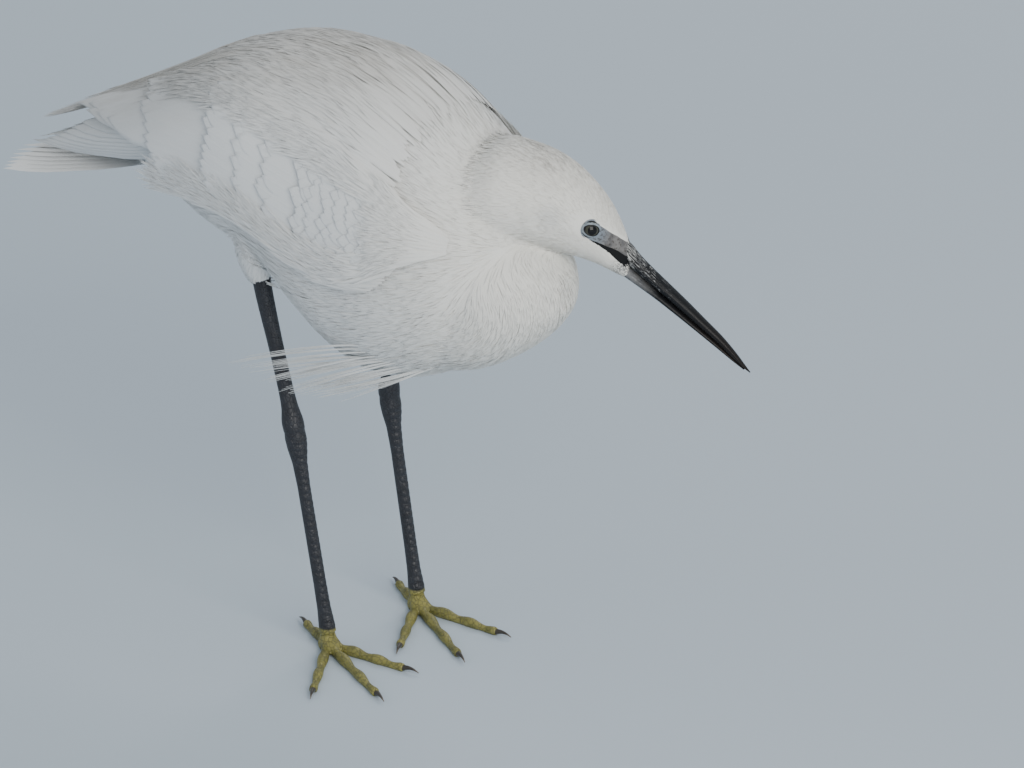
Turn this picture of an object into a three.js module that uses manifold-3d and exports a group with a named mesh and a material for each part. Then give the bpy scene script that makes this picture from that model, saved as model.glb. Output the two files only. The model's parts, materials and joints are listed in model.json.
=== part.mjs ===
// Little egret, life size, standing still on both feet and leaning forward to look for prey.
// Millimetres, +Z up. The bird faces +X and its right side is towards -Y. The floor is Z = 0.
import * as THREE from "three";
import { mergeVertices } from "three/addons/utils/BufferGeometryUtils.js";
import Module from "manifold-3d";

const wasm = await Module();
wasm.setup();

// Driving dimensions
const GAP = 0.34; // space kept between touching parts
const HEAD_TURN = 23; // degrees the head looks to the bird's left
const NECK_TURN = 7; // degrees the folded neck leans the same way
const NECK_PIVOT = 50; // where the neck turns, ahead of the legs
const BILL_LENGTH = 76.7; // along the culmen, from the forehead feathers
const BILL_SLOPE = 43.6; // degrees below level
const EYE_RADIUS = 4.7;
const TARSUS_THICK = 2.9;
const VANE_THICK = 0.62;
const TOE_THICK = 2.5;
const CLAW_LENGTH = 8.5;

// Colours and surfaces
const WHITE_FEATHER = { color: 0xf2f1ec, roughness: 0.85, metalness: 0 };
const BILL_BLACK = { color: 0x17181b, roughness: 0.42, metalness: 0 };
const LEG_BLACK = { color: 0x15161a, roughness: 0.55, metalness: 0 };
const FOOT_YELLOW = { color: 0x9c9438, roughness: 0.6, metalness: 0 };
const CLAW_DARK = { color: 0x2a2620, roughness: 0.45, metalness: 0 };
const EYE_GLOSS = { color: 0x1b1d20, roughness: 0.08, metalness: 0 };

const degrees = THREE.MathUtils.degToRad;
const lerp = THREE.MathUtils.lerp;
const vector = (x, y, z) => new THREE.Vector3(x, y, z);

// Seeded random numbers, so that every build gives the same bird
function makeRandom(seed) {
  let state = seed;
  return (low, high) => {
    state = (state * 1664525 + 1013904223) % 4294967296;
    return low + ((high - low) * state) / 4294967296;
  };
}

// Mesh and solid helpers
function geometryOf(vertices, triangles) {
  const geometry = new THREE.BufferGeometry();
  geometry.setAttribute("position", new THREE.Float32BufferAttribute(vertices.flatMap((v) => v.toArray()), 3));
  geometry.setIndex(triangles.flat());
  return geometry;
}

function solidOf(geometry) {
  const bare = geometry.clone();
  bare.deleteAttribute("normal");
  bare.deleteAttribute("uv");
  const merged = mergeVertices(bare, 1e-4);
  const vertProperties = new Float32Array(merged.attributes.position.array);
  const triVerts = new Uint32Array(merged.index.array);
  return new wasm.Manifold(new wasm.Mesh({ numProp: 3, vertProperties, triVerts }));
}

function fuse(solids) {
  let rest = solids;
  while (rest.length > 1) {
    const pairs = [];
    for (let i = 0; i < rest.length; i += 2) {
      pairs.push(i + 1 < rest.length ? rest[i].add(rest[i + 1]) : rest[i]);
    }
    rest = pairs;
  }
  return rest[0];
}

function cut(solid, ...cutters) {
  return cutters.reduce((left, cutter) => left.subtract(cutter), solid);
}

function enclosedVolume(mesh) {
  const { vertProperties: p, triVerts: t } = mesh;
  const corner = (k) => vector(p[3 * t[k]], p[3 * t[k] + 1], p[3 * t[k] + 2]);
  let sum = 0;
  for (let k = 0; k < t.length; k += 3) {
    sum += corner(k).dot(corner(k + 1).cross(corner(k + 2))) / 6;
  }
  return sum;
}

// The largest closed surface of a solid, as a geometry
function largestSurface(solid) {
  const meshes = solid.decompose().map((piece) => piece.getMesh());
  meshes.sort((a, b) => enclosedVolume(b) - enclosedVolume(a));
  const geometry = new THREE.BufferGeometry();
  geometry.setAttribute("position", new THREE.Float32BufferAttribute(meshes[0].vertProperties, 3));
  geometry.setIndex(new THREE.Uint32BufferAttribute(meshes[0].triVerts, 1));
  return geometry;
}

// A skin through rings of equal count, closed by a fan at each end
function closeRings(rings) {
  const around = rings[0].length;
  const vertices = rings.flat();
  const triangles = [];
  for (let i = 0; i + 1 < rings.length; i++) {
    for (let j = 0; j < around; j++) {
      const a = i * around + j;
      const b = i * around + ((j + 1) % around);
      triangles.push([a, b, b + around], [a, b + around, a + around]);
    }
  }
  const middle = (ring) => ring.reduce((sum, v) => sum.add(v), vector(0, 0, 0)).divideScalar(around);
  const last = (rings.length - 1) * around;
  vertices.push(middle(rings[0]), middle(rings[rings.length - 1]));
  for (let j = 0; j < around; j++) {
    const next = (j + 1) % around;
    triangles.push([next, j, vertices.length - 2], [last + j, last + next, vertices.length - 1]);
  }
  const solid = solidOf(geometryOf(vertices, triangles));
  if (enclosedVolume(solid.getMesh()) > 0) return solid;
  return solidOf(geometryOf(vertices, triangles.map(([a, b, c]) => [a, c, b])));
}

// A body form: sections through a top line and a bottom line, turned about a pivot on the middle plane
class Form {
  constructor(stations, { turn = 0, pivot = 0, full = 2.15 } = {}) {
    const curve = (points) => new THREE.CatmullRomCurve3(points, false, "centripetal");
    this.upper = curve(stations.map((s) => vector(s.top[0], s.wide, s.top[1])));
    this.lower = curve(stations.map((s) => vector(s.low[0], s.wide, s.low[1])));
    this.ahead = vector(Math.cos(degrees(turn)), Math.sin(degrees(turn)), 0);
    this.left = vector(-Math.sin(degrees(turn)), Math.cos(degrees(turn)), 0);
    this.pivot = vector(pivot, 0, 0);
    this.full = full;
  }

  place(along, across, height) {
    const point = this.pivot.clone().addScaledVector(this.ahead, along).addScaledVector(this.left, across);
    point.z += height;
    return point;
  }

  centre(t) {
    const a = this.upper.getPoint(t);
    const b = this.lower.getPoint(t);
    return this.place((a.x + b.x) / 2, 0, (a.z + b.z) / 2);
  }

  // angle 0 is the top, 90 degrees the bird's left
  point(t, angle) {
    const a = this.upper.getPoint(t);
    const b = this.lower.getPoint(t);
    const squared = (v) => Math.sign(v) * Math.abs(v) ** (2 / this.full);
    const c = squared(Math.cos(angle));
    const s = squared(Math.sin(angle));
    const along = (a.x + b.x) / 2 + (c * (a.x - b.x)) / 2;
    const height = (a.z + b.z) / 2 + (c * (a.z - b.z)) / 2;
    return this.place(along, a.y * s, height);
  }

  normal(t, angle) {
    const step = 0.004;
    const t0 = Math.max(0, t - step);
    const t1 = Math.min(1, t + step);
    const along = this.point(t1, angle).sub(this.point(t0, angle));
    const around = this.point(t, angle + 0.02).sub(this.point(t, angle - 0.02));
    const out = along.cross(around).normalize();
    return out.dot(this.point(t, angle).sub(this.centre(t))) < 0 ? out.negate() : out;
  }

  lifted(t, angle, lift) {
    return this.point(t, angle).addScaledVector(this.normal(t, angle), lift);
  }

  solid(steps, around, { grow = 0, from = 0, to = 1 } = {}) {
    const rings = [];
    for (let i = 0; i <= steps; i++) {
      const t = lerp(from, to, i / steps);
      const ring = [];
      for (let j = 0; j < around; j++) {
        const angle = ((j + 0.5) / around) * Math.PI * 2;
        ring.push(grow ? this.lifted(t, angle, grow) : this.point(t, angle));
      }
      rings.push(ring);
    }
    return closeRings(rings);
  }

  // The parameter whose section stands at a given distance ahead
  stationAt(x) {
    let low = 0;
    let high = 1;
    const rising = this.centre(1).x > this.centre(0).x;
    for (let k = 0; k < 40; k++) {
      const mid = (low + high) / 2;
      if (this.centre(mid).x < x === rising) low = mid;
      else high = mid;
    }
    return (low + high) / 2;
  }

  // The angle on one side at which the section reaches a height
  angleAt(t, z, side) {
    const a = this.upper.getPoint(t).z;
    const b = this.lower.getPoint(t).z;
    const c = THREE.MathUtils.clamp((z - (a + b) / 2) / ((a - b) / 2), -0.999, 0.999);
    const plain = Math.sign(c) * Math.abs(c) ** (this.full / 2);
    return side * Math.acos(plain);
  }

  // The surface point nearest to a place seen from the side, with the normal there
  beside(along, height, side) {
    let best = null;
    for (let i = 0; i <= 120; i++) {
      const t = i / 120;
      for (let j = 1; j < 60; j++) {
        const angle = side * degrees(j * 3);
        const point = this.point(t, angle);
        const ahead = point.clone().sub(this.pivot).dot(this.ahead);
        const miss = Math.hypot(ahead - along, point.z - height);
        if (!best || miss < best.miss) best = { t, angle, point, miss };
      }
    }
    return { ...best, normal: this.normal(best.t, best.angle) };
  }
}

const station = (x, top, low, wide) => ({ top: [x, top], low: [x, low], wide });
const slanted = (top, low, wide) => ({ top, low, wide });

// A limb: round sections along a path, each with its own fore-and-aft and sideways half size
function limb(stops, around, { grow = 0, floor = null } = {}) {
  const rings = stops.map((stop, i) => {
    const here = vector(...stop.at);
    const before = i > 0 ? vector(...stops[i - 1].at) : here;
    const after = i + 1 < stops.length ? vector(...stops[i + 1].at) : here;
    const run = after.clone().sub(before).normalize();
    const guide = Math.abs(run.z) > 0.7 ? vector(0, 1, 0) : vector(0, 0, 1);
    const across = guide.clone().addScaledVector(run, -guide.dot(run)).normalize();
    const other = run.clone().cross(across);
    const ring = [];
    for (let j = 0; j < around; j++) {
      const angle = ((j + 0.5) / around) * Math.PI * 2;
      const point = here.clone();
      point.addScaledVector(across, Math.cos(angle) * ((stop.wide ?? stop.thick) + grow));
      point.addScaledVector(other, Math.sin(angle) * (stop.thick + grow));
      if (floor !== null) point.z = Math.max(point.z, floor);
      ring.push(point);
    }
    return ring;
  });
  return closeRings(rings);
}

// A feather vane: a thin plate along stops, each with its outward direction and half width.
// Its two faces are split into triangles alike.
function vane(stops, thick = VANE_THICK) {
  const vertices = [];
  const last = stops.length - 1;
  stops.forEach((stop, i) => {
    const run = stops[Math.min(last, i + 1)].at.clone().sub(stops[Math.max(0, i - 1)].at).normalize();
    const side = run.clone().cross(stop.out).normalize();
    const out = side.clone().cross(run).normalize();
    const deep = (thick / 2) * (i === last ? 0.7 : 1);
    for (const [across, up] of [[1, 1], [-1, 1], [-1, -1], [1, -1]]) {
      const corner = stop.at.clone().addScaledVector(side, across * stop.half);
      vertices.push(corner.addScaledVector(out, up * deep));
    }
  });
  const triangles = [];
  for (let i = 0; i < last; i++) {
    const [a, b, c, d] = [0, 1, 2, 3].map((k) => 4 * i + k);
    triangles.push([a, b + 4, b], [a, a + 4, b + 4]);
    triangles.push([d, c, c + 4], [d, c + 4, d + 4]);
    triangles.push([b, c + 4, c], [b, b + 4, c + 4]);
    triangles.push([d, a + 4, a], [d, d + 4, a + 4]);
  }
  const end = 4 * last;
  triangles.push([0, 2, 3], [0, 1, 2], [end, end + 2, end + 1], [end, end + 3, end + 2]);
  return solidOf(geometryOf(vertices, triangles));
}

// Share of a vane's full half width at each share of its length, for a round tip and for a pointed one
const ROUND_TIP = [[0, 0.55], [0.34, 0.97], [0.7, 0.97], [0.92, 0.58], [1, 0.16]];
const LONG_TIP = [[0, 0.6], [0.3, 1], [0.66, 0.94], [0.88, 0.62], [1, 0.16]];
const FINE_TIP = [[0, 0.8], [0.25, 1], [0.5, 0.86], [0.78, 0.55], [1, 0.2]];

// Body forms
const TORSO = new Form([
  station(-134, 229.6, 214.8, 8),
  station(-126, 236.2, 207.8, 18),
  station(-106, 248.2, 196.6, 31),
  station(-84, 261.9, 186.3, 40),
  station(-62, 272.6, 177.8, 46),
  station(-43, 278.1, 170, 49.5),
  station(-25, 279.6, 152.3, 51),
  station(-3, 279.4, 135.7, 51.5),
  station(20, 273.4, 133.6, 51.5),
  station(40, 262.6, 140.3, 49),
  station(57, 248.8, 150.6, 43),
  station(68, 236.4, 164.7, 34),
  station(76, 223.4, 181.4, 22),
  station(80, 210.6, 196, 8),
]);

const NECK_FOLD = new Form(
  [
    slanted([-41.7, 188.9], [-35.7, 154], 14),
    slanted([-26.5, 204.1], [-19.5, 142.9], 29),
    slanted([-4.2, 216.2], [1.8, 145.2], 36.5),
    slanted([14.3, 218.8], [19.3, 152.5], 36),
    slanted([27.4, 213.8], [33.9, 162.6], 30),
    slanted([38.1, 205.2], [42.6, 172.6], 20.5),
    slanted([45, 195], [46.6, 180], 8.5),
  ],
  { turn: NECK_TURN, pivot: NECK_PIVOT },
);

const HEAD = new Form(
  [
    slanted([-6, 246.8], [-6, 207.8], 27),
    slanted([13.5, 252.6], [9, 206], 28.5),
    slanted([25, 250.8], [21, 206.5], 25.5),
    slanted([36.8, 247.3], [31.5, 205], 22),
    slanted([46.5, 241.5], [40.5, 202.8], 19),
    slanted([54.5, 233.4], [48.5, 200.7], 16.4),
    slanted([60, 225.9], [55, 198.5], 13.6),
    slanted([64.2, 217.8], [60.5, 195.9], 10.6),
    slanted([67.2, 211], [65, 193.6], 8),
    slanted([69, 206.4], [68.3, 192], 5.9),
  ],
  { turn: HEAD_TURN, pivot: NECK_PIVOT, full: 2.1 },
);
const NAPE_END = 3 / 9; // the head starts at this share of the neck and head form

// Bill: sections square to the culmen, given by distance along it and depth below it
const CULMEN_START = [68.9, 207.6];
function billPoint(along, depth) {
  const slope = degrees(BILL_SLOPE);
  return [
    CULMEN_START[0] + along * Math.cos(slope) - depth * Math.sin(slope),
    CULMEN_START[1] - along * Math.sin(slope) - depth * Math.cos(slope),
  ];
}
const billRing = (along, top, low, wide) => slanted(billPoint(along, top), billPoint(along, low), wide);
const headPlace = { turn: HEAD_TURN, pivot: NECK_PIVOT, full: 2.1 };

const UPPER_BILL = new Form(
  [
    billRing(-13, 3.4, 7.4, 3.4),
    billRing(-1, -0.2, 6.9, 4.9),
    billRing(6, 0.5, 6.8, 4.8),
    billRing(14, 0.8, 6.3, 4.6),
    billRing(24, 0.6, 5.5, 4.1),
    billRing(35, 0.4, 4.8, 3.5),
    billRing(46, 0.5, 4.2, 2.95),
    billRing(57, 0.6, 3.6, 2.4),
    billRing(67, 1.6, 3.6, 1.75),
    billRing(73, 2.6, 3.75, 1.15),
    billRing(BILL_LENGTH, 3.1, 3.5, 0.35),
  ],
  headPlace,
);
const LOWER_BILL = new Form(
  [
    billRing(-8, 7.8, 12, 3.2),
    billRing(1, 7.3, 13, 4.6),
    billRing(6, 7.2, 12.4, 4.6),
    billRing(14, 6.7, 11, 4.4),
    billRing(24, 5.9, 9.4, 3.9),
    billRing(35, 5.2, 8.2, 3.3),
    billRing(46, 4.6, 7.1, 2.7),
    billRing(57, 4, 6.1, 2.1),
    billRing(67, 4, 5.2, 1.4),
    billRing(BILL_LENGTH - 2.8, 4, 4.5, 0.5),
  ],
  headPlace,
);

// The folded wings lie on this outer form, which runs on past the body to their tips
const CLOAK = new Form([
  station(-203, 201, 184, 7),
  station(-190, 207.3, 181, 14),
  station(-170, 217.2, 178, 21.5),
  station(-150, 228.2, 176.8, 28.5),
  station(-128, 239.8, 177.6, 35.5),
  station(-106, 251.7, 179.4, 42),
  station(-84, 264.4, 176.4, 47.5),
  station(-62, 274.1, 171.4, 52),
  station(-43, 279.1, 165.6, 54.5),
  station(-25, 280.6, 147.9, 56),
  station(-3, 280.4, 135.2, 56.5),
  station(20, 274.4, 133.1, 56.5),
  station(40, 263.6, 139.3, 54),
  station(57, 249.8, 149.6, 48),
  station(68, 237.4, 163.7, 39),
]);

// Edges of the folded wing: angle of the upper edge in degrees from the top, height of the lower edge
const WING_EDGES = [
  { x: 47, upper: 62, lower: 214 },
  { x: 30, upper: 56, lower: 204 },
  { x: 8, upper: 53, lower: 204.5 },
  { x: -14, upper: 51, lower: 211 },
  { x: -36, upper: 48, lower: 219.5 },
  { x: -60, upper: 41, lower: 223 },
  { x: -84, upper: 30, lower: 222 },
  { x: -106, upper: 20, lower: 218.5 },
  { x: -130, upper: 13, lower: 214 },
  { x: -155, upper: 11, lower: 208 },
  { x: -180, upper: 10, lower: 201 },
  { x: -197, upper: 12, lower: 197 },
];
const WING_LINE = new THREE.CatmullRomCurve3(
  WING_EDGES.map((edge) => vector(edge.x, edge.upper, edge.lower)),
  false,
  "centripetal",
);

function wingEdgesAt(x) {
  let low = 0;
  let high = 1;
  for (let k = 0; k < 30; k++) {
    const mid = (low + high) / 2;
    if (WING_LINE.getPoint(mid).x > x) low = mid;
    else high = mid;
  }
  return WING_LINE.getPoint((low + high) / 2);
}

// A place on the folded wing: how far ahead it is, and its share of the way from the upper to the lower edge
function wingSpot(x, across, side) {
  const edge = wingEdgesAt(x);
  const t = CLOAK.stationAt(x);
  const upper = degrees(edge.y);
  const lower = Math.abs(CLOAK.angleAt(t, edge.z, 1));
  return { t, angle: side * lerp(upper, lower, across) };
}

function wingPlace(x, across, lift, side) {
  const spot = wingSpot(x, across, side);
  return CLOAK.lifted(spot.t, spot.angle, lift);
}

// A vane lying on the wing from a root to a tip, tilted a little so that each one overlaps the next below it
function wingVane(side, { root, tip, half, lift, tilt = 8, shape = ROUND_TIP }) {
  const stops = shape.map(([share, width]) => {
    const x = lerp(root[0], tip[0], share);
    const across = lerp(root[1], tip[1], share);
    const spot = wingSpot(x, across, side);
    const early = Math.min(1, share / 0.34);
    const late = Math.max(0, share - 0.34) / 0.66;
    const rise = lerp(lift[0], lift[1], early) + (lift[2] - lift[1]) * late;
    const out = CLOAK.normal(spot.t, spot.angle);
    const down = CLOAK.point(spot.t, spot.angle + side * 0.02).sub(CLOAK.point(spot.t, spot.angle)).normalize();
    out.addScaledVector(down, -Math.tan(degrees(tilt)));
    return { at: CLOAK.lifted(spot.t, spot.angle, rise), out: out.normalize(), half: half * width };
  });
  return vane(stops);
}

// A thick patch of the wing surface, its two faces meeting at a thin edge
function wingPatch(side, { from, to, upper = 0, lower = 1, inner, outer, rows, columns }) {
  const sheet = (face) => {
    const grid = [];
    for (let i = 0; i <= rows; i++) {
      for (let j = 0; j <= columns; j++) {
        const u = i / rows;
        const v = j / columns;
        grid.push(wingPlace(lerp(from, to, u), lerp(upper, lower, v), face(u, v), side));
      }
    }
    return grid;
  };
  const vertices = [...sheet(outer), ...sheet(inner)];
  const width = columns + 1;
  const half = (rows + 1) * width;
  const triangles = [];
  for (let i = 0; i < rows; i++) {
    for (let j = 0; j < columns; j++) {
      const a = i * width + j;
      triangles.push([a, a + 1, a + width + 1], [a, a + width + 1, a + width]);
      const b = a + half;
      triangles.push([b, b + width + 1, b + 1], [b, b + width, b + width + 1]);
    }
  }
  const wall = (a, b) => triangles.push([b, a, a + half], [b, a + half, b + half]);
  for (let i = 0; i < rows; i++) {
    wall((i + 1) * width, i * width);
    wall(i * width + columns, (i + 1) * width + columns);
  }
  for (let j = 0; j < columns; j++) {
    wall(j, j + 1);
    wall(rows * width + j + 1, rows * width + j);
  }
  const solid = solidOf(geometryOf(vertices, triangles));
  if (enclosedVolume(solid.getMesh()) > 0) return solid;
  return solidOf(geometryOf(vertices, triangles.map(([a, b, c]) => [a, c, b])));
}

// The fleshy part of a folded wing, from the wrist to where only feathers go on
const WRIST_X = 47;
const WING_FLESH_END = -84;
function wingFlesh(side) {
  const swell = (u, v) => Math.sin(Math.PI * Math.min(1, v * 0.96 + 0.02)) ** 0.5 * Math.min(1, u * 7 + 0.05);
  return wingPatch(side, {
    from: WRIST_X,
    to: WING_FLESH_END,
    upper: 0.03,
    lower: 0.95,
    inner: (u, v) => -2.3 - 5.5 * swell(u, v),
    outer: () => -1.7,
    rows: 9,
    columns: 5,
  });
}

// Wing feathers in tiers from the wrist back: where a tier roots, where its upper and lower feathers end
const WING_TIERS = [
  { root: 45, tips: [25, 21], count: 4, half: 9.4, share: [0.16, 0.88], tall: 2 },
  { root: 29, tips: [-1, 2], count: 4, half: 11.2, share: [0.1, 0.9], tall: 2.4 },
  { root: 9, tips: [-30, -24], count: 5, half: 9.8, share: [0.03, 0.93], tall: 2.4 },
  { root: -14, tips: [-60, -55], count: 5, half: 9.8, share: [0.02, 0.93], tall: 2.5 },
  { root: -44, tips: [-116, -96], count: 5, half: 10.2, share: [0.04, 0.94], tall: 2.5 },
];
const TERTIALS = { root: -80, tips: [-168, -136], count: 3, half: 9, share: [0.14, 0.58], tall: 1.6 };

function tierVanes(side, tier, random, shape) {
  const vanes = [];
  for (let k = 0; k < tier.count; k++) {
    const down = k / (tier.count - 1);
    const across = lerp(tier.share[0], tier.share[1], down);
    const end = lerp(tier.tips[0], tier.tips[1], down) + random(-2.5, 2.5);
    vanes.push(
      wingVane(side, {
        root: [tier.root + random(-1, 1), across],
        tip: [end, across + random(-0.012, 0.012)],
        half: tier.half * random(0.95, 1.05),
        lift: [-2.2, -0.3, tier.tall],
        shape,
      }),
    );
  }
  return vanes;
}

function wingSolid(side) {
  const random = makeRandom(side > 0 ? 31 : 32);
  const vanes = WING_TIERS.flatMap((tier, i) => tierVanes(side, tier, random, i < 4 ? ROUND_TIP : LONG_TIP));
  return fuse([wingFlesh(side), ...vanes, ...tierVanes(side, TERTIALS, random, LONG_TIP)]);
}

// Outer flight feathers, stacked below the wing's own feathers and running on to the wing tip
const PRIMARY_COUNT = 5;
const PRIMARY_ROOT_X = -87;
const PRIMARY_STEP = 0.96; // from one vane down to the next
const PRIMARY_TOP = -3.5;
function primarySolid(side) {
  const root = wingPatch(side, {
    from: PRIMARY_ROOT_X + 1.5,
    to: PRIMARY_ROOT_X - 9,
    upper: 0.42,
    lower: 0.93,
    inner: () => PRIMARY_TOP - PRIMARY_STEP * PRIMARY_COUNT,
    outer: () => PRIMARY_TOP + 0.3,
    rows: 1,
    columns: 3,
  });
  const vanes = [];
  for (let k = 0; k < PRIMARY_COUNT; k++) {
    const share = k / (PRIMARY_COUNT - 1);
    const lift = PRIMARY_TOP - PRIMARY_STEP * k;
    const tipX = lerp(-156, -200, share ** 0.8);
    vanes.push(
      wingVane(side, {
        root: [PRIMARY_ROOT_X, lerp(0.5, 0.8, share)],
        tip: [tipX, lerp(0.4, 0.8, share)],
        half: 7.5,
        lift: [lift, lift, lift],
        tilt: 0,
        shape: LONG_TIP,
      }),
    );
  }
  return fuse([root, ...vanes]);
}

// Tail: twelve feathers in one fold, the middle pair on top
const TAIL_ROOT_X = -124;
const TAIL_TIP_X = -205;
const TAIL_SPREAD = [2.4, 7.4, 11.2, 14.6, 17.4, 19.6]; // how far out each pair ends
const TAIL_STEP = 0.96;
const tailTop = (x) => 201.6 + 0.25 * (x + 155);

function tailSolid() {
  const root = limb(
    [
      { at: [-116, 0, tailTop(-116) - 2.8], thick: 11, wide: 4.2 },
      { at: [-128, 0, tailTop(-128) - 2.9], thick: 12, wide: 4 },
      { at: [-139, 0, tailTop(-139) - 3.1], thick: 11, wide: 3.2 },
      { at: [-145, 0, tailTop(-145) - 3.2], thick: 8.5, wide: 2.4 },
    ],
    14,
  );
  const vanes = [];
  TAIL_SPREAD.forEach((spread, pair) => {
    for (const side of [1, -1]) {
      const level = pair === 0 && side > 0 ? 0 : pair + 1;
      const start = vector(TAIL_ROOT_X, side * spread * 0.62, tailTop(TAIL_ROOT_X) - TAIL_STEP * level);
      const tipX = TAIL_TIP_X + 1.1 * pair;
      const end = vector(tipX, side * spread, tailTop(tipX) - TAIL_STEP * level);
      const stops = LONG_TIP.map(([share, width]) => ({
        at: start.clone().lerp(end, share),
        out: vector(0.26, side * (pair === 0 ? 0 : 0.05), 1),
        half: 7.3 * width,
      }));
      vanes.push(vane(stops));
    }
  });
  return fuse([root, ...vanes]);
}

// Long fine plumes: breast plumes blown back past the legs, and back plumes over the rump
const BREAST_PLUMES = {
  right: { side: -1, count: 10, end: { x: [-44, 8], y: [50, 32], z: [140, 117] } },
  left: { side: 1, count: 5, end: { x: [-30, 6], y: [50, 40], z: [141, 122] } },
};

function breastPlumes() {
  const random = makeRandom(77);
  const plumes = [];
  for (const { side, count, end } of Object.values(BREAST_PLUMES)) {
    for (let k = 0; k < count; k++) {
      const share = k / (count - 1);
      const rootX = lerp(20, 44, share) + random(-2, 2);
      const t = TORSO.stationAt(rootX);
      const angle = side * degrees(lerp(129, 152, share) + random(-3, 3));
      const root = TORSO.lifted(t, angle, -2.5);
      const leave = TORSO.lifted(TORSO.stationAt(rootX - 24), angle, 3.5);
      const tip = vector(
        lerp(end.x[0], end.x[1], share) + random(-5, 5),
        side * (lerp(end.y[0], end.y[1], share) + random(-2, 2)),
        lerp(end.z[0], end.z[1], share ** 0.7) + random(-3, 3),
      );
      const curve = new THREE.QuadraticBezierCurve3(root, leave, tip);
      const out = TORSO.normal(t, angle);
      plumes.push(vane(FINE_TIP.map(([s, w]) => ({ at: curve.getPoint(s), out, half: 1.25 * w }))));
    }
  }
  return plumes;
}

const BACK_PLUME_COUNT = 9;
function backPlumes() {
  const random = makeRandom(5);
  const plumes = [];
  for (let k = 0; k < BACK_PLUME_COUNT; k++) {
    const share = k / (BACK_PLUME_COUNT - 1);
    const sideways = 2 * share - 1;
    const rootX = -48 + 12 * Math.abs(sideways) + random(-5, 5);
    const endX = -178 + 26 * Math.abs(sideways) + random(-7, 7);
    const stops = FINE_TIP.map(([s, width]) => {
      const x = lerp(rootX, endX, s);
      const t = CLOAK.stationAt(x);
      const angle = degrees(sideways * lerp(22, 19, s));
      const lift = lerp(-5, 7.4, Math.min(1, s * 3.4)) + 1.2 * Math.sin(3 * k) * s;
      return { at: CLOAK.lifted(t, angle, lift), out: CLOAK.normal(t, angle), half: 1.5 * width };
    });
    plumes.push(vane(stops));
  }
  return plumes;
}

// Legs: stops down each leg, the right one standing behind the left
const LEGS = {
  left: {
    side: 1,
    thigh: [
      { at: [0, 26, 176], thick: 20 },
      { at: [-6, 27.5, 156], thick: 15.5 },
      { at: [-11.5, 28.6, 142], thick: 11 },
      { at: [-13.8, 29.1, 133], thick: 7.2 },
      { at: [-14.6, 29.3, 129], thick: 5 },
    ],
    tibia: [
      { at: [-13, 29, 138], thick: 3.8 },
      { at: [-16, 29.4, 122], thick: 3.4 },
      { at: [-18.1, 29.7, 112], thick: 3.8 },
      { at: [-19.2, 29.9, 106], thick: 4.9 },
      { at: [-19.4, 30, 101], thick: 5.1 },
      { at: [-18.9, 30, 97], thick: 4.3 },
    ],
    hock: [-19.2, 30, 102],
    ankle: [-3, 28, 8],
    heading: -34,
  },
  right: {
    side: -1,
    thigh: [
      { at: [-34, -24, 212], thick: 22 },
      { at: [-43, -26, 196], thick: 17 },
      { at: [-47, -27.4, 183], thick: 11 },
      { at: [-46.9, -28, 175], thick: 6.8 },
      { at: [-46.2, -28.1, 171], thick: 4.9 },
    ],
    tibia: [
      { at: [-47.8, -28, 180], thick: 4.3 },
      { at: [-44.6, -28.2, 165], thick: 4 },
      { at: [-37.4, -28.5, 138], thick: 3.4 },
      { at: [-31.2, -28.8, 115], thick: 3.8 },
      { at: [-29.6, -28.9, 108], thick: 4.9 },
      { at: [-28.6, -29, 103], thick: 5.1 },
      { at: [-27.8, -29, 99], thick: 4.3 },
    ],
    hock: [-28.5, -29, 104],
    ankle: [-12, -28, 8],
    heading: -30,
  },
};

// Toes: angle from the foot's heading, length to the claw
const TOES = [
  { name: "inner", angle: 31, length: 41 },
  { name: "middle", angle: 0, length: 53 },
  { name: "outer", angle: -32, length: 45 },
  { name: "hind", angle: 180, length: 24 },
];

function tarsusStops({ hock, ankle }) {
  const thick = [4.6, 4.9, 4.5, 3.4, TARSUS_THICK, TARSUS_THICK, TARSUS_THICK, 3.1, 3.7, 3.9];
  const share = [0, 0.04, 0.09, 0.16, 0.28, 0.5, 0.75, 0.88, 0.96, 1];
  return share.map((s, i) => ({ at: hock.map((h, k) => lerp(h, ankle[k], s)), thick: thick[i] }));
}

function toeDirection(leg, toe) {
  const turn = degrees(leg.heading - leg.side * toe.angle);
  return vector(Math.cos(turn), Math.sin(turn), 0);
}

// A toe: a tapering run along the floor, swollen at its joints and flat underneath
function toeSolid(leg, toe, grow = 0) {
  const joints = toe.name === "hind" ? 2 : 3;
  const direction = toeDirection(leg, toe);
  const steps = 6;
  const stops = [];
  for (let i = 0; i <= steps; i++) {
    const s = i / steps;
    const swell = 0.3 * Math.cos(s * joints * Math.PI * 2);
    const thick = lerp(TOE_THICK, 1.75, s) + swell * (s < 1 ? 1 : 0.2);
    const rise = s === 0 ? 3.4 : 0;
    const reach = 1 + s * (toe.length - 1);
    stops.push({
      at: [leg.ankle[0] + direction.x * reach, leg.ankle[1] + direction.y * reach, thick - 0.55 + rise],
      thick,
    });
  }
  return limb(stops, 8, { grow, floor: 0 });
}

function footSolid(leg) {
  const pad = limb(
    [
      { at: [leg.ankle[0], leg.ankle[1], 7.4], thick: 3.2 },
      { at: [leg.ankle[0], leg.ankle[1], 5], thick: 4 },
      { at: [leg.ankle[0], leg.ankle[1], 2], thick: 4.6 },
      { at: [leg.ankle[0], leg.ankle[1], 0], thick: 3.6 },
    ],
    12,
    { floor: 0 },
  );
  return fuse([pad, ...TOES.map((toe) => toeSolid(leg, toe))]);
}

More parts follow.
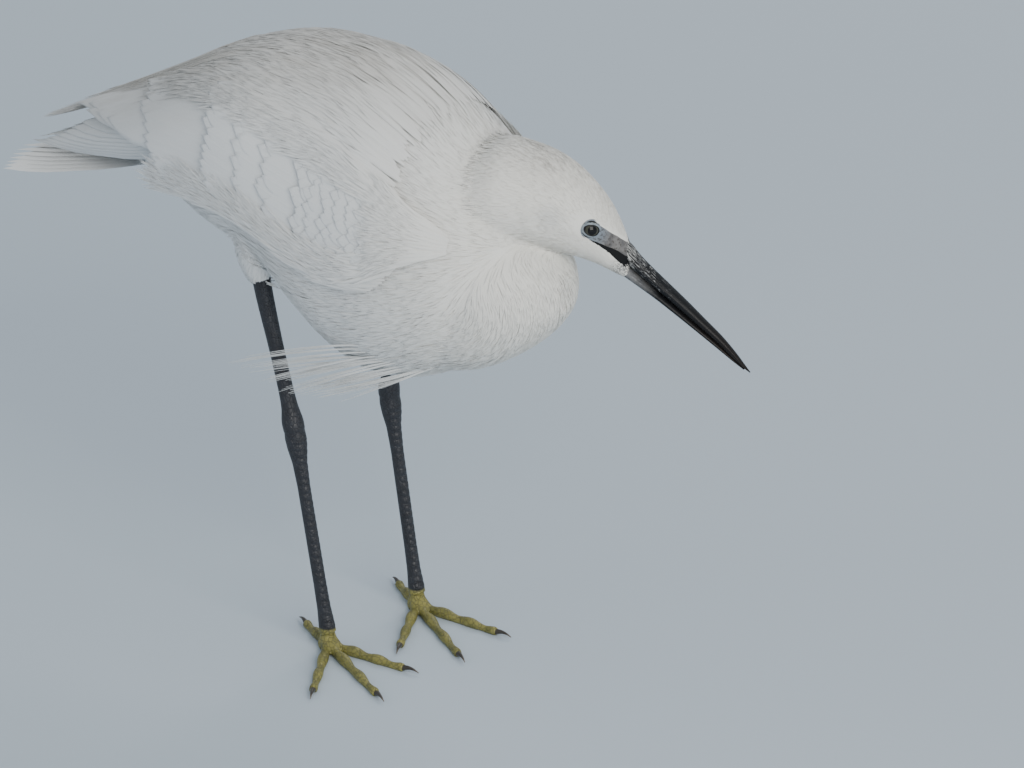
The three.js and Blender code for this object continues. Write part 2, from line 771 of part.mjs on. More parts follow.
function clawSolid(leg, toe) {
  const direction = toeDirection(leg, toe);
  const stops = [];
  for (let i = 0; i <= 5; i++) {
    const s = i / 5;
    const reach = toe.length + GAP + s * CLAW_LENGTH;
    const height = 1.5 + 1.1 * Math.sin(Math.PI * Math.min(1, s * 0.9)) - 0.75 * s;
    stops.push({
      at: [leg.ankle[0] + direction.x * reach, leg.ankle[1] + direction.y * reach, height],
      thick: lerp(1.3, 0.3, s),
    });
  }
  return limb(stops, 6, { floor: 0.15 });
}

// Eyes sit in the head with lids round them
const EYE_SPOT = [54.5, 219.5]; // seen from the side: ahead of the pivot, height
const EYE_SUNK = 3.1;
function eyePlace(side) {
  const spot = HEAD.beside(...EYE_SPOT, side);
  return { centre: spot.point.clone().addScaledVector(spot.normal, -EYE_SUNK), normal: spot.normal, spot };
}

function ball(centre, radius, across = 14, up = 8) {
  return solidOf(new THREE.SphereGeometry(radius, across, up).translate(...centre.toArray()));
}

function lidRing(side) {
  const { centre, normal } = eyePlace(side);
  const ringRadius = 3.7;
  const tube = 0.8;
  const profile = [];
  for (let k = 0; k <= 5; k++) {
    const angle = (k / 5) * Math.PI * 2;
    profile.push(new THREE.Vector2(ringRadius + tube * Math.cos(angle), tube * Math.sin(angle)));
  }
  const ring = new THREE.LatheGeometry(profile, 14);
  const turn = new THREE.Quaternion().setFromUnitVectors(vector(0, 1, 0), normal);
  ring.applyQuaternion(turn);
  ring.translate(...centre.clone().addScaledVector(normal, EYE_SUNK - 0.25).toArray());
  const solid = solidOf(ring);
  if (enclosedVolume(solid.getMesh()) > 0) return solid;
  const flipped = ring.clone();
  flipped.setIndex([...ring.index.array].reverse());
  return solidOf(flipped);
}

// The line of the mouth runs on from the bill to the gape, and a slit on each side of the bill is a nostril
const GAPE = [51.5, 215.6];
const MOUTH_DEPTH = 0.7;
function mouthGroove(side) {
  const stops = [0, 0.35, 0.7, 1].map((s) => {
    const from = billPoint(2, 7.2);
    const spot = HEAD.beside(lerp(GAPE[0], from[0], s), lerp(GAPE[1], from[1], s), side);
    return { at: spot.point.toArray(), thick: s === 0 ? 0.3 : MOUTH_DEPTH };
  });
  return limb(stops, 6);
}

const NOSTRIL = { start: 9, end: 15.5, depth: 2.6, thick: 0.45 };
function nostrilSlit(side) {
  const stops = [0, 0.5, 1].map((s) => {
    const spot = UPPER_BILL.beside(...billPoint(lerp(NOSTRIL.start, NOSTRIL.end, s), NOSTRIL.depth), side);
    return { at: spot.point.toArray(), thick: s === 0.5 ? NOSTRIL.thick : NOSTRIL.thick * 0.6, wide: 0.55 };
  });
  return limb(stops, 6);
}

// Assembly
const bird = new THREE.Group();
function add(name, solid, look) {
  const mesh = new THREE.Mesh(largestSurface(solid), new THREE.MeshStandardMaterial(look));
  mesh.name = name;
  bird.add(mesh);
}

const torso = TORSO.solid(20, 22);
const torsoGrown = TORSO.solid(20, 22, { grow: GAP });
const neckFold = cut(NECK_FOLD.solid(10, 18), torsoGrown);
const neckFoldGrown = NECK_FOLD.solid(10, 18, { grow: GAP });
const nape = cut(HEAD.solid(5, 18, { to: NAPE_END }), torsoGrown, neckFoldGrown);
const upperBill = cut(UPPER_BILL.solid(11, 10), nostrilSlit(1), nostrilSlit(-1));
const lowerBill = LOWER_BILL.solid(10, 10);
const billRoom = [UPPER_BILL.solid(11, 10, { grow: GAP }), LOWER_BILL.solid(10, 10, { grow: GAP })];

const napeGrownEnd = NAPE_END + 0.006;
let head = HEAD.solid(12, 16, { from: napeGrownEnd });
head = fuse([head, lidRing(1), lidRing(-1)]);
head = cut(head, neckFoldGrown, torsoGrown, ...billRoom);
for (const side of [1, -1]) {
  head = cut(head, ball(eyePlace(side).centre, EYE_RADIUS + GAP), mouthGroove(side));
}

add("torso", fuse([torso, ...breastPlumes(), ...backPlumes()]), WHITE_FEATHER);
add("neck_lower", neckFold, WHITE_FEATHER);
add("neck_upper", nape, WHITE_FEATHER);
add("head", head, WHITE_FEATHER);
add("upper_bill", upperBill, BILL_BLACK);
add("lower_bill", lowerBill, BILL_BLACK);
add("tail", cut(tailSolid(), torsoGrown), WHITE_FEATHER);

for (const [word, leg] of Object.entries(LEGS)) {
  const side = leg.side;
  add(`eye_${word}`, ball(eyePlace(side).centre, EYE_RADIUS), EYE_GLOSS);
  add(`wing_${word}`, cut(wingSolid(side), torsoGrown), WHITE_FEATHER);
  add(`primaries_${word}`, cut(primarySolid(side), torsoGrown), WHITE_FEATHER);
  const tibiaRoom = limb(leg.tibia, 12, { grow: GAP });
  add(`thigh_${word}`, cut(limb(leg.thigh, 16), torsoGrown, tibiaRoom), WHITE_FEATHER);
  add(`tibia_${word}`, cut(limb(leg.tibia, 12), torsoGrown), LEG_BLACK);
  add(`tarsus_${word}`, cut(limb(tarsusStops(leg), 12), tibiaRoom), LEG_BLACK);
  const foot = cut(footSolid(leg), limb(tarsusStops(leg), 12, { grow: GAP }));
  add(`foot_${word}`, foot, FOOT_YELLOW);
  for (const toe of TOES) add(`claw_${word}_${toe.name}`, clawSolid(leg, toe), CLAW_DARK);
}

// The origin is the middle of the space the bird takes, on the floor
const room = new THREE.Box3().setFromObject(bird);
bird.position.set(-(room.min.x + room.max.x) / 2, -(room.min.y + room.max.y) / 2, -room.min.z);
bird.updateMatrixWorld(true);

export default bird;
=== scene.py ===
"""Little egret, life size: its looks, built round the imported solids."""

import json
import math

import bmesh
import bpy
import numpy as np
from bpy.props import FloatProperty, FloatVectorProperty, PointerProperty
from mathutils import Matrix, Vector, kdtree

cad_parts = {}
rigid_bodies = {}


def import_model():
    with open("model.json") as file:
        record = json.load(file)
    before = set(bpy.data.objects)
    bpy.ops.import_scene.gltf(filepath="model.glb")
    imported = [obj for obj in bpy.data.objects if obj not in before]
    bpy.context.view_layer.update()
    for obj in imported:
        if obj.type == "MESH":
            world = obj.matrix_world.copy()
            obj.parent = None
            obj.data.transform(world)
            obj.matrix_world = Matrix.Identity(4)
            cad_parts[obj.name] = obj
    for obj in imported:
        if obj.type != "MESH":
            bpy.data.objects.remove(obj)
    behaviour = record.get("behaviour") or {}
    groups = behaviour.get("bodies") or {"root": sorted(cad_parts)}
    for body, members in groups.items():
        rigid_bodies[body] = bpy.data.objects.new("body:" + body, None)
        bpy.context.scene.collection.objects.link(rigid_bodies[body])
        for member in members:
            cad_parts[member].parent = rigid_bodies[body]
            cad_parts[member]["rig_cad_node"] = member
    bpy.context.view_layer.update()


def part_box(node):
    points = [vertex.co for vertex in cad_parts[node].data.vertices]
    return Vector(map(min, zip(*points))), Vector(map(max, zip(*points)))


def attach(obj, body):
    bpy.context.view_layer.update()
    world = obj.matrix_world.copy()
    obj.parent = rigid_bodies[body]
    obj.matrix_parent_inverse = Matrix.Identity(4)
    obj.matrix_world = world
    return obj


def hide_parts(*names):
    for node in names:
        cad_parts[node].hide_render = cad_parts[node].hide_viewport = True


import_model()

bl_info = {
    "name": "Little egret",
    "version": (1, 0, 0),
    "blender": (4, 5, 0),
    "location": "View3D > Sidebar > Egret",
    "description": "Builds the skin, feathers, eyes, bill and legs of a standing little egret",
    "category": "Object",
}

# Body forms in millimetres: top line, bottom line and half width at each station
TORSO_STATIONS = [
    (-134, 229.6, 214.8, 8), (-126, 236.2, 207.8, 18), (-106, 248.2, 196.6, 31), (-84, 261.9, 186.3, 40),
    (-62, 272.6, 177.8, 46), (-43, 278.1, 170, 49.5), (-25, 279.6, 152.3, 51), (-3, 279.4, 135.7, 51.5),
    (20, 273.4, 133.6, 51.5), (40, 262.6, 140.3, 49), (57, 248.8, 150.6, 43), (68, 236.4, 164.7, 34),
    (76, 223.4, 181.4, 22), (80, 210.6, 196, 8),
]
CLOAK_STATIONS = [
    (-203, 201, 184, 7), (-190, 207.3, 181, 14), (-170, 217.2, 178, 21.5), (-150, 228.2, 176.8, 28.5),
    (-128, 239.8, 177.6, 35.5), (-106, 251.7, 179.4, 42), (-84, 264.4, 176.4, 47.5),
    (-62, 274.1, 171.4, 52), (-43, 279.1, 165.6, 54.5), (-25, 280.6, 147.9, 56), (-3, 280.4, 135.2, 56.5),
    (20, 274.4, 133.1, 56.5), (40, 263.6, 139.3, 54), (57, 249.8, 149.6, 48), (68, 237.4, 163.7, 39),
]
NECK_STATIONS = [
    ((-41.7, 188.9), (-35.7, 154), 14), ((-26.5, 204.1), (-19.5, 142.9), 29),
    ((-4.2, 216.2), (1.8, 145.2), 36.5), ((14.3, 218.8), (19.3, 152.5), 36),
    ((27.4, 213.8), (33.9, 162.6), 30), ((38.1, 205.2), (42.6, 172.6), 20.5), ((45, 195), (46.6, 180), 8.5),
]
HEAD_STATIONS = [
    ((-6, 246.8), (-6, 207.8), 27), ((13.5, 252.6), (9, 206), 28.5), ((25, 250.8), (21, 206.5), 25.5),
    ((36.8, 247.3), (31.5, 205), 22), ((46.5, 241.5), (40.5, 202.8), 19),
    ((54.5, 233.4), (48.5, 200.7), 16.4), ((60, 225.9), (55, 198.5), 13.6),
    ((64.2, 217.8), (60.5, 195.9), 10.6), ((67.2, 211), (65, 193.6), 8), ((69, 206.4), (68.3, 192), 5.9),
]
WING_EDGES = [
    (47, 62, 214), (30, 56, 204), (8, 53, 204.5), (-14, 51, 211), (-36, 48, 219.5), (-60, 41, 223),
    (-84, 30, 222), (-106, 20, 218.5), (-130, 13, 214), (-155, 11, 208), (-180, 10, 201), (-197, 12, 197),
]
HEAD_TURN, NECK_TURN, NECK_PIVOT = 23, 7, 50
CULMEN_START, BILL_SLOPE, BILL_LENGTH = (68.9, 207.6), 43.6, 76.7
EYE_SPOT, EYE_SUNK, EYE_RADIUS = (54.5, 219.5), 3.1, 4.7
UPPER_BILL_RINGS = [
    (-13, 3.4, 7.4, 3.4), (-1, -0.2, 6.9, 4.9), (6, 0.5, 6.8, 4.8), (14, 0.8, 6.3, 4.6),
    (24, 0.6, 5.5, 4.1), (35, 0.4, 4.8, 3.5), (46, 0.5, 4.2, 2.95), (57, 0.6, 3.6, 2.4),
    (67, 1.6, 3.6, 1.75), (73, 2.6, 3.75, 1.15), (BILL_LENGTH, 3.1, 3.5, 0.35),
]
LOWER_BILL_RINGS = [
    (-8, 7.8, 12, 3.2), (1, 7.3, 13, 4.6), (6, 7.2, 12.4, 4.6), (14, 6.7, 11, 4.4), (24, 5.9, 9.4, 3.9),
    (35, 5.2, 8.2, 3.3), (46, 4.6, 7.1, 2.7), (57, 4, 6.1, 2.1), (67, 4, 5.2, 1.4),
    (BILL_LENGTH - 2.8, 4, 4.5, 0.5),
]
LEGS = {
    "left": {
        "side": 1,
        "thigh": [(0, 26, 176, 20), (-6, 27.5, 156, 15.5), (-11.5, 28.6, 142, 11), (-13.8, 29.1, 133, 7.2),
                  (-14.6, 29.3, 129, 5)],
        "tibia": [(-13, 29, 138, 3.8), (-16, 29.4, 122, 3.4), (-18.1, 29.7, 112, 3.8),
                  (-19.2, 29.9, 106, 4.9)],
        "hock": (-19.2, 30, 102),
        "ankle": (-3, 28, 8),
        "heading": -34,
    },
    "right": {
        "side": -1,
        "thigh": [(-34, -24, 212, 22), (-43, -26, 196, 17), (-47, -27.4, 183, 11), (-46.9, -28, 175, 6.8),
                  (-46.2, -28.1, 171, 4.9)],
        "tibia": [(-47.8, -28, 180, 4.3), (-44.6, -28.2, 165, 4), (-37.4, -28.5, 138, 3.4),
                  (-31.2, -28.8, 115, 3.8), (-29.6, -28.9, 108, 4.9)],
        "hock": (-28.5, -29, 104),
        "ankle": (-12, -28, 8),
        "heading": -30,
    },
}
TOES = {"inner": (31, 41), "middle": (0, 53), "outer": (-32, 45), "hind": (180, 24)}
CLAW_LENGTH = 8.5
GAP = 0.34


def centripetal(points, t):
    """Points of a centripetal Catmull-Rom curve at parameters from 0 to 1."""
    pts = np.asarray(points, float)
    count = len(pts)
    ends = np.vstack([2 * pts[0] - pts[1], pts, 2 * pts[-1] - pts[-2]])
    where = np.clip(np.asarray(t, float), 0, 1) * (count - 1)
    i = np.minimum(where.astype(int), count - 2)
    w = (where - i)[..., None]
    p0, p1, p2, p3 = (ends[i + k] for k in range(4))

    def gap(a, b):
        return np.maximum(((a - b) ** 2).sum(-1, keepdims=True), 1e-12) ** 0.25

    d0, d1, d2 = gap(p0, p1), gap(p1, p2), gap(p2, p3)
    m1 = ((p1 - p0) / d0 - (p2 - p0) / (d0 + d1) + (p2 - p1) / d1) * d1
    m2 = ((p2 - p1) / d1 - (p3 - p1) / (d1 + d2) + (p3 - p2) / d2) * d1
    return p1 + m1 * w + (3 * (p2 - p1) - 2 * m1 - m2) * w**2 + (2 * (p1 - p2) + m1 + m2) * w**3


def unit(v):
    """The vectors at length one."""
    return v / np.maximum(np.linalg.norm(v, axis=-1, keepdims=True), 1e-9)


class Form:
    """A body form: sections through a top line and a bottom line, turned about a pivot."""

    def __init__(self, stations, turn=0, pivot=0, full=2.15):
        flat = [((s[0], s[1]), (s[0], s[2]), s[3]) if len(s) == 4 else s for s in stations]
        self.upper = [(top[0], wide, top[1]) for top, low, wide in flat]
        self.lower = [(low[0], wide, low[1]) for top, low, wide in flat]
        angle = math.radians(turn)
        self.ahead = np.array([math.cos(angle), math.sin(angle), 0])
        self.left = np.array([-math.sin(angle), math.cos(angle), 0])
        self.pivot = np.array([pivot, 0, 0], float)
        self.full = full

    def place(self, along, across, height):
        along, across, height = (np.asarray(v, float)[..., None] for v in (along, across, height))
        return self.pivot + along * self.ahead + across * self.left + height * np.array([0, 0, 1.0])

    def point(self, t, angle):
        t, angle = np.broadcast_arrays(np.asarray(t, float), np.asarray(angle, float))
        a = centripetal(self.upper, t)
        b = centripetal(self.lower, t)
        c, s = np.cos(angle), np.sin(angle)
        c = np.sign(c) * np.abs(c) ** (2 / self.full)
        s = np.sign(s) * np.abs(s) ** (2 / self.full)
        along = (a[..., 0] + b[..., 0]) / 2 + c * (a[..., 0] - b[..., 0]) / 2
        height = (a[..., 2] + b[..., 2]) / 2 + c * (a[..., 2] - b[..., 2]) / 2
        return self.place(along, a[..., 1] * s, height)

    def centre(self, t):
        a = centripetal(self.upper, t)
        b = centripetal(self.lower, t)
        return self.place((a[..., 0] + b[..., 0]) / 2, 0 * a[..., 0], (a[..., 2] + b[..., 2]) / 2)

    def along(self, t, angle):
        t = np.asarray(t, float)
        return unit(self.point(np.minimum(1, t + 0.004), angle) - self.point(np.maximum(0, t - 0.004), angle))

    def normal(self, t, angle):
        t, angle = np.broadcast_arrays(np.asarray(t, float), np.asarray(angle, float))
        around = self.point(t, angle + 0.02) - self.point(t, angle - 0.02)
        out = unit(np.cross(self.along(t, angle), around))
        inward = (out * (self.point(t, angle) - self.centre(t))).sum(-1, keepdims=True) < 0
        return np.where(inward, -out, out)

    def lifted(self, t, angle, lift):
        t, angle, lift = np.broadcast_arrays(*(np.asarray(v, float) for v in (t, angle, lift)))
        return self.point(t, angle) + self.normal(t, angle) * lift[..., None]

    def grid(self, steps, around, lift=0.0, start=0.0, end=1.0):
        t = np.linspace(start, end, steps + 1)[:, None]
        angle = ((np.arange(around) + 0.5) / around * 2 * np.pi)[None, :]
        lift = np.asarray(lift, float)
        return self.lifted(t, angle, lift[:, None] if lift.ndim else lift)

    def station_at(self, x):
        t = np.linspace(0, 1, 2001)
        xs = self.centre(t)[:, 0]
        order = np.argsort(xs)
        return np.interp(x, xs[order], t[order])

    def angle_at(self, t, z):
        a = centripetal(self.upper, t)[..., 2]
        b = centripetal(self.lower, t)[..., 2]
        c = np.clip((z - (a + b) / 2) / ((a - b) / 2), -0.999, 0.999)
        return np.arccos(np.sign(c) * np.abs(c) ** (self.full / 2))

    def beside(self, along, height, side):
        """The surface point nearest to a place seen from the side, with its normal."""
        t, angle = np.meshgrid(np.linspace(0, 1, 121), np.radians(np.arange(3, 180, 3)) * side, indexing="ij")
        points = self.point(t, angle)
        ahead = ((points - self.pivot) * self.ahead).sum(-1)
        best = np.argmin(np.hypot(ahead - along, points[..., 2] - height))
        t, angle = t.flat[best], angle.flat[best]
        return self.point(t, angle), self.normal(t, angle)


def bill_point(along, depth):
    """A point of the head's middle plane, along the culmen and square to it."""
    slope = math.radians(BILL_SLOPE)
    x = CULMEN_START[0] + along * math.cos(slope) - depth * math.sin(slope)
    return (x, CULMEN_START[1] - along * math.sin(slope) - depth * math.cos(slope))


def bill_form(rings):
    stations = [(bill_point(a, top), bill_point(a, low), wide) for a, top, low, wide in rings]
    return Form(stations, HEAD_TURN, NECK_PIVOT, 2.1)


TORSO = Form(TORSO_STATIONS)
CLOAK = Form(CLOAK_STATIONS)
NECK = Form(NECK_STATIONS, NECK_TURN, NECK_PIVOT)
HEAD = Form(HEAD_STATIONS, HEAD_TURN, NECK_PIVOT, 2.1)
UPPER_BILL = bill_form(UPPER_BILL_RINGS)
LOWER_BILL = bill_form(LOWER_BILL_RINGS)


def eye_place(side):
    """Middle of the eyeball and the way it looks."""
    point, normal = HEAD.beside(*EYE_SPOT, side)
    return point - normal * EYE_SUNK, normal


eye_low, eye_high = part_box("eye_left")
SHIFT = np.array((eye_low + eye_high) / 2) * 1000 - eye_place(1)[0]


def metres(points):
    """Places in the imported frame, in metres, of points in the bird's millimetres."""
    return (np.asarray(points, float) + SHIFT) / 1000


# Mesh helpers
def new_object(name, vertices, faces, material=None, smooth=True):
    """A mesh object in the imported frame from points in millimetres."""
    mesh = bpy.data.meshes.new(name)
    mesh.from_pydata(metres(vertices).tolist(), [], [list(f) for f in faces])
    mesh.update()
    if smooth:
        mesh.shade_smooth()
    piece = bpy.data.objects.new(name, mesh)
    bpy.context.scene.collection.objects.link(piece)
    if material:
        mesh.materials.append(material)
    return piece


def loft(rings):
    """Vertices and faces of a closed skin through rings of equal count."""
    rows, around = rings.shape[:2]
    vertices = rings.reshape(-1, 3)
    faces = []
    for i in range(rows - 1):
        for j in range(around):
            a, b = i * around + j, i * around + (j + 1) % around
            faces.append((a, b, b + around, a + around))
    first, last = len(vertices), len(vertices) + 1
    vertices = np.vstack([vertices, rings[0].mean(0), rings[-1].mean(0)])
    base = (rows - 1) * around
    for j in range(around):
        k = (j + 1) % around
        faces.append((k, j, first))
        faces.append((base + j, base + k, last))
    return vertices, orient(vertices, faces)


def orient(vertices, faces):
    """The faces turned so that the solid they enclose faces out."""
    volume = 0.0
    for face in faces:
        a = vertices[face[0]]
        for k in range(1, len(face) - 1):
            volume += np.dot(a, np.cross(vertices[face[k]], vertices[face[k + 1]]))
    return faces if volume > 0 else [tuple(reversed(face)) for face in faces]


def join(parts):
    """Vertices and faces of several meshes as one."""
    vertices, faces, start = [], [], 0
    for points, polygons in parts:
        vertices.append(points)
        faces += [tuple(i + start for i in face) for face in polygons]
        start += len(points)
    return np.vstack(vertices), faces


def tube(path, radii, around, flat=1.0, guide=(0, 1, 0)):
    """Rings round a path, with a radius at each point."""
    path = np.asarray(path, float)
    run = unit(np.gradient(path, axis=0))
    guide = np.broadcast_to(np.asarray(guide, float), path.shape)
    across = unit(guide - run * (guide * run).sum(-1, keepdims=True))
    other = np.cross(run, across)
    angle = (np.arange(around) + 0.5) / around * 2 * np.pi
    radii = np.broadcast_to(np.asarray(radii, float), (len(path),))
    wide = radii[:, None, None] * np.cos(angle)[None, :, None] * across[:, None]
    tall = flat * radii[:, None, None] * np.sin(angle)[None, :, None] * other[:, None]
    return path[:, None] + wide + tall


def resample(stops, count):
    """Stops of place and thickness as many smooth ones."""
    return centripetal(stops, np.linspace(0, 1, count))


def finished(piece, name, replaces=()):
    """Names a piece, makes it ride on the body, and hides the parts it stands for."""
    piece.name = name
    piece.data.name = name
    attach(piece, "root")
    if replaces:
        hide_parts(*replaces)
    return piece


def set_values(mesh, name, values, kind="FLOAT", domain="POINT"):
    """Stores one value for each vertex."""
    values = np.asarray(values, np.float32)
    layer = mesh.attributes.new(name, kind, domain)
    layer.data.foreach_set("vector" if kind in ("FLOAT_VECTOR", "FLOAT2") else "value", values.ravel())


def vertex_places(mesh):
    flat = np.zeros(len(mesh.vertices) * 3, np.float32)
    mesh.vertices.foreach_get("co", flat)
    return flat.reshape(-1, 3).astype(float)


def vertex_normals(mesh):
    flat = np.zeros(len(mesh.vertices) * 3, np.float32)
    mesh.vertex_normals.foreach_get("vector", flat)
    return flat.reshape(-1, 3).astype(float)


def nearest(points, queries):
    """Index and distance of the nearest point for each query."""
    tree = kdtree.KDTree(len(points))
    for i, p in enumerate(points):
        tree.insert(p, i)
    tree.balance()
    found = [tree.find(q) for q in queries]
    return np.array([f[1] for f in found]), np.array([f[2] for f in found])


# Materials
def new_material(name, **values):
    """A node material with constants set on its own shader's sockets."""
    material = bpy.data.materials.new(name)
    material.use_nodes = True
    shader = material.node_tree.nodes["Principled BSDF"]
    for socket, value in values.items():
        shader.inputs[socket.replace("_", " ").title().replace("Ior", "IOR")].default_value = value
    return material


class Nodes:
    """Short ways to place and join nodes in one tree."""

    def __init__(self, tree):
        self.tree = tree

    def add(self, kind, inputs=(), **settings):
        node = self.tree.nodes.new(kind)
        for key, value in settings.items():
            setattr(node, key, value)
        for key, value in dict(inputs).items():
            socket = node.inputs[key]
            if isinstance(value, bpy.types.NodeSocket):
                self.tree.links.new(value, socket)
            elif value is not None:
                socket.default_value = value
        return node

    def link(self, out, into):
        self.tree.links.new(out, into)

    def math(self, operation, a, b=None, c=None, clamp=False):
        inputs = {0: a}
        if b is not None:
            inputs[1] = b
        if c is not None:
            inputs[2] = c
        return self.add("ShaderNodeMath", inputs, operation=operation, use_clamp=clamp).outputs[0]

    def vector(self, operation, a, b=None):
        inputs = {0: a}
        if b is not None:
            inputs[1] = b
        node = self.add("ShaderNodeVectorMath", inputs, operation=operation)
        return node.outputs["Value" if operation in ("DISTANCE", "LENGTH", "DOT_PRODUCT") else "Vector"]

    def smooth(self, value, low, high, to_low=0.0, to_high=1.0):
        node = self.add(
            "ShaderNodeMapRange",
            {"Value": value, "From Min": low, "From Max": high, "To Min": to_low, "To Max": to_high},
            interpolation_type="SMOOTHSTEP",
        )
        return node.outputs["Result"]

    def mix(self, factor, a, b):
        node = self.add("ShaderNodeMix", {"Factor": factor, 6: a, 7: b}, data_type="RGBA")
        return node.outputs[2]

    def noise(self, vector, scale, detail=3.0, rough=0.55):
        inputs = {"Vector": vector, "Scale": scale, "Detail": detail, "Roughness": rough}
        return self.add("ShaderNodeTexNoise", inputs).outputs["Fac"]

    def stretched(self, vector, scale, rotation=(0, 0, 0)):
        sockets = {"Vector": vector, "Scale": scale, "Rotation": rotation}
        return self.add("ShaderNodeMapping", sockets).outputs[0]

    def near(self, vector, centre, inner, outer):
        """One inside a ball of the inner radius, falling to nothing at the outer one."""
        return self.smooth(self.vector("DISTANCE", vector, tuple(centre)), inner, outer, 1.0, 0.0)


def shader_group(name, inputs, outputs):
    """An empty node group with its sockets made, and its input and output nodes."""
    tree = bpy.data.node_groups.new(name, "ShaderNodeTree")
    for label, kind, default in inputs:
        socket = tree.interface.new_socket(name=label, in_out="INPUT", socket_type=kind)
        socket.default_value = default
    for label, kind in outputs:
        tree.interface.new_socket(name=label, in_out="OUTPUT", socket_type=kind)
    nodes = Nodes(tree)
    return nodes, nodes.add("NodeGroupInput"), nodes.add("NodeGroupOutput")


def place(points):
    return metres(np.asarray(points, float))


def plumage_tint():
    """Group: the white of the plumage, with painted warm light on its front, a greyer back of painted shade
    with some stain, and the soft marks of the head.
    """
    group = bpy.data.node_groups.get("Plumage tint")
    if group:
        return group
    # The grey is painted shade, with some stain in it, for the top of the back.
    white, warm_light, grey = (0.83, 0.84, 0.835, 1), (0.86, 0.845, 0.79, 1), (0.5, 0.48, 0.44, 1)
    inputs = [
        ("White", "NodeSocketColor", white),
        ("Warm light", "NodeSocketColor", warm_light),
        ("Back shade and stain", "NodeSocketColor", grey),
    ]
    outputs = [("Color", "NodeSocketColor"), ("Broad noise", "NodeSocketFloat")]
    nodes, into, out = shader_group("Plumage tint", inputs, outputs)
    spot = nodes.add("ShaderNodeTexCoord").outputs["Object"]
    parts = nodes.add("ShaderNodeSeparateXYZ", {0: spot})
    wide = nodes.noise(spot, 16.0, 2.0)
    # The front turns cream: painted warm light falling on the breast and neck.
    front = nodes.smooth(nodes.math("MULTIPLY_ADD", wide, 0.03, parts.outputs[0]), 0.04, 0.13)
    color = nodes.mix(nodes.math("MULTIPLY", front, 0.85), into.outputs["White"], into.outputs["Warm light"])
    # The top of the back greys: painted shade with some stain, broken up by streaks.
    behind = nodes.math("MINIMUM", nodes.math("SUBTRACT", parts.outputs[0], place((-45, 0, 0))[0]), 0.0)
    ridge = nodes.math("MULTIPLY_ADD", behind, -0.46, parts.outputs[2])
    back = nodes.smooth(nodes.math("MULTIPLY_ADD", wide, 0.02, ridge), 0.26, 0.296)
    streaks = nodes.noise(nodes.stretched(spot, (20, 160, 60)), 1.0, 4.0, 0.7)
    back = nodes.math("MULTIPLY", back, nodes.smooth(streaks, 0.25, 0.75, 0.45, 0.85))
    color = nodes.mix(back, color, into.outputs["Back shade and stain"])
    crown = HEAD.lifted(np.array([0.3, 0.5]), 0.0, 0.0)
    ear = [HEAD.beside(37.5, 226.5, side)[0] for side in (1, -1)]
    cape = nodes.near(spot, place(crown[0]), 0.004, 0.026)
    fine = nodes.noise(nodes.stretched(spot, (60, 500, 200), (0, 0.5, 0.4)), 1.0, 4.0, 0.7)
    cape = nodes.math("MULTIPLY", cape, nodes.smooth(fine, 0.48, 0.66, 0.1, 0.75))
    color = nodes.mix(cape, color, (0.42, 0.4, 0.37, 1))
    for middle in ear:
        shade = nodes.math("MULTIPLY", nodes.near(spot, place(middle), 0.0005, 0.009), 0.3)
        color = nodes.mix(shade, color, (0.5, 0.52, 0.54, 1))
    flecks = nodes.smooth(nodes.noise(spot, 1500.0, 3.0, 0.6), 0.44, 0.56)
    for side in (1, -1):
        chin = nodes.near(spot, place(HEAD.beside(67, 199, side)[0]), 0.0015, 0.0085)
        specks = nodes.math("MULTIPLY", nodes.math("MULTIPLY", chin, flecks), 0.85)
        color = nodes.mix(specks, color, (0.1, 0.1, 0.11, 1))
    nodes.link(color, out.inputs["Color"])
    nodes.link(wide, out.inputs["Broad noise"])
    return nodes.tree


def fine_lines():
    """Group: fine barbs across a vane, as a height, from the values stored along and across it."""
    group = bpy.data.node_groups.get("Barb lines")
    if group:
        return group
    inputs = [("Count", "NodeSocketFloat", 60.0), ("Slant", "NodeSocketFloat", 0.35)]
    outputs = [("Height", "NodeSocketFloat"), ("Shade", "NodeSocketFloat")]
    nodes, into, out = shader_group("Barb lines", inputs, outputs)
    along = nodes.add("ShaderNodeAttribute", attribute_name="along").outputs["Fac"]
    across = nodes.add("ShaderNodeAttribute", attribute_name="across").outputs["Fac"]
    tone = nodes.add("ShaderNodeAttribute", attribute_name="tone").outputs["Fac"]
    side = nodes.math("ABSOLUTE", across)
    run = nodes.math("SUBTRACT", along, nodes.math("MULTIPLY", side, into.outputs["Slant"]))
    turns = nodes.math("MULTIPLY", into.outputs["Count"], 6.283)
    wave = nodes.math("SINE", nodes.math("MULTIPLY", run, turns))
    stretched, apart = nodes.math("MULTIPLY", run, 40.0), nodes.math("MULTIPLY", tone, 50.0)
    joined = nodes.add("ShaderNodeCombineXYZ", {0: stretched, 1: side, 2: apart})
    uneven = nodes.noise(joined.outputs[0], 1.0, 2.0)
    height = nodes.math("ADD", nodes.math("MULTIPLY", wave, 0.25), uneven)
    rachis = nodes.smooth(side, 0.03, 0.09, 1.0, 0.0)
    nodes.link(nodes.math("ADD", height, rachis), out.inputs["Height"])
    shade = nodes.math("MULTIPLY_ADD", tone, 0.5, nodes.math("MULTIPLY", uneven, 0.5))
    nodes.link(shade, out.inputs["Shade"])
    return nodes.tree


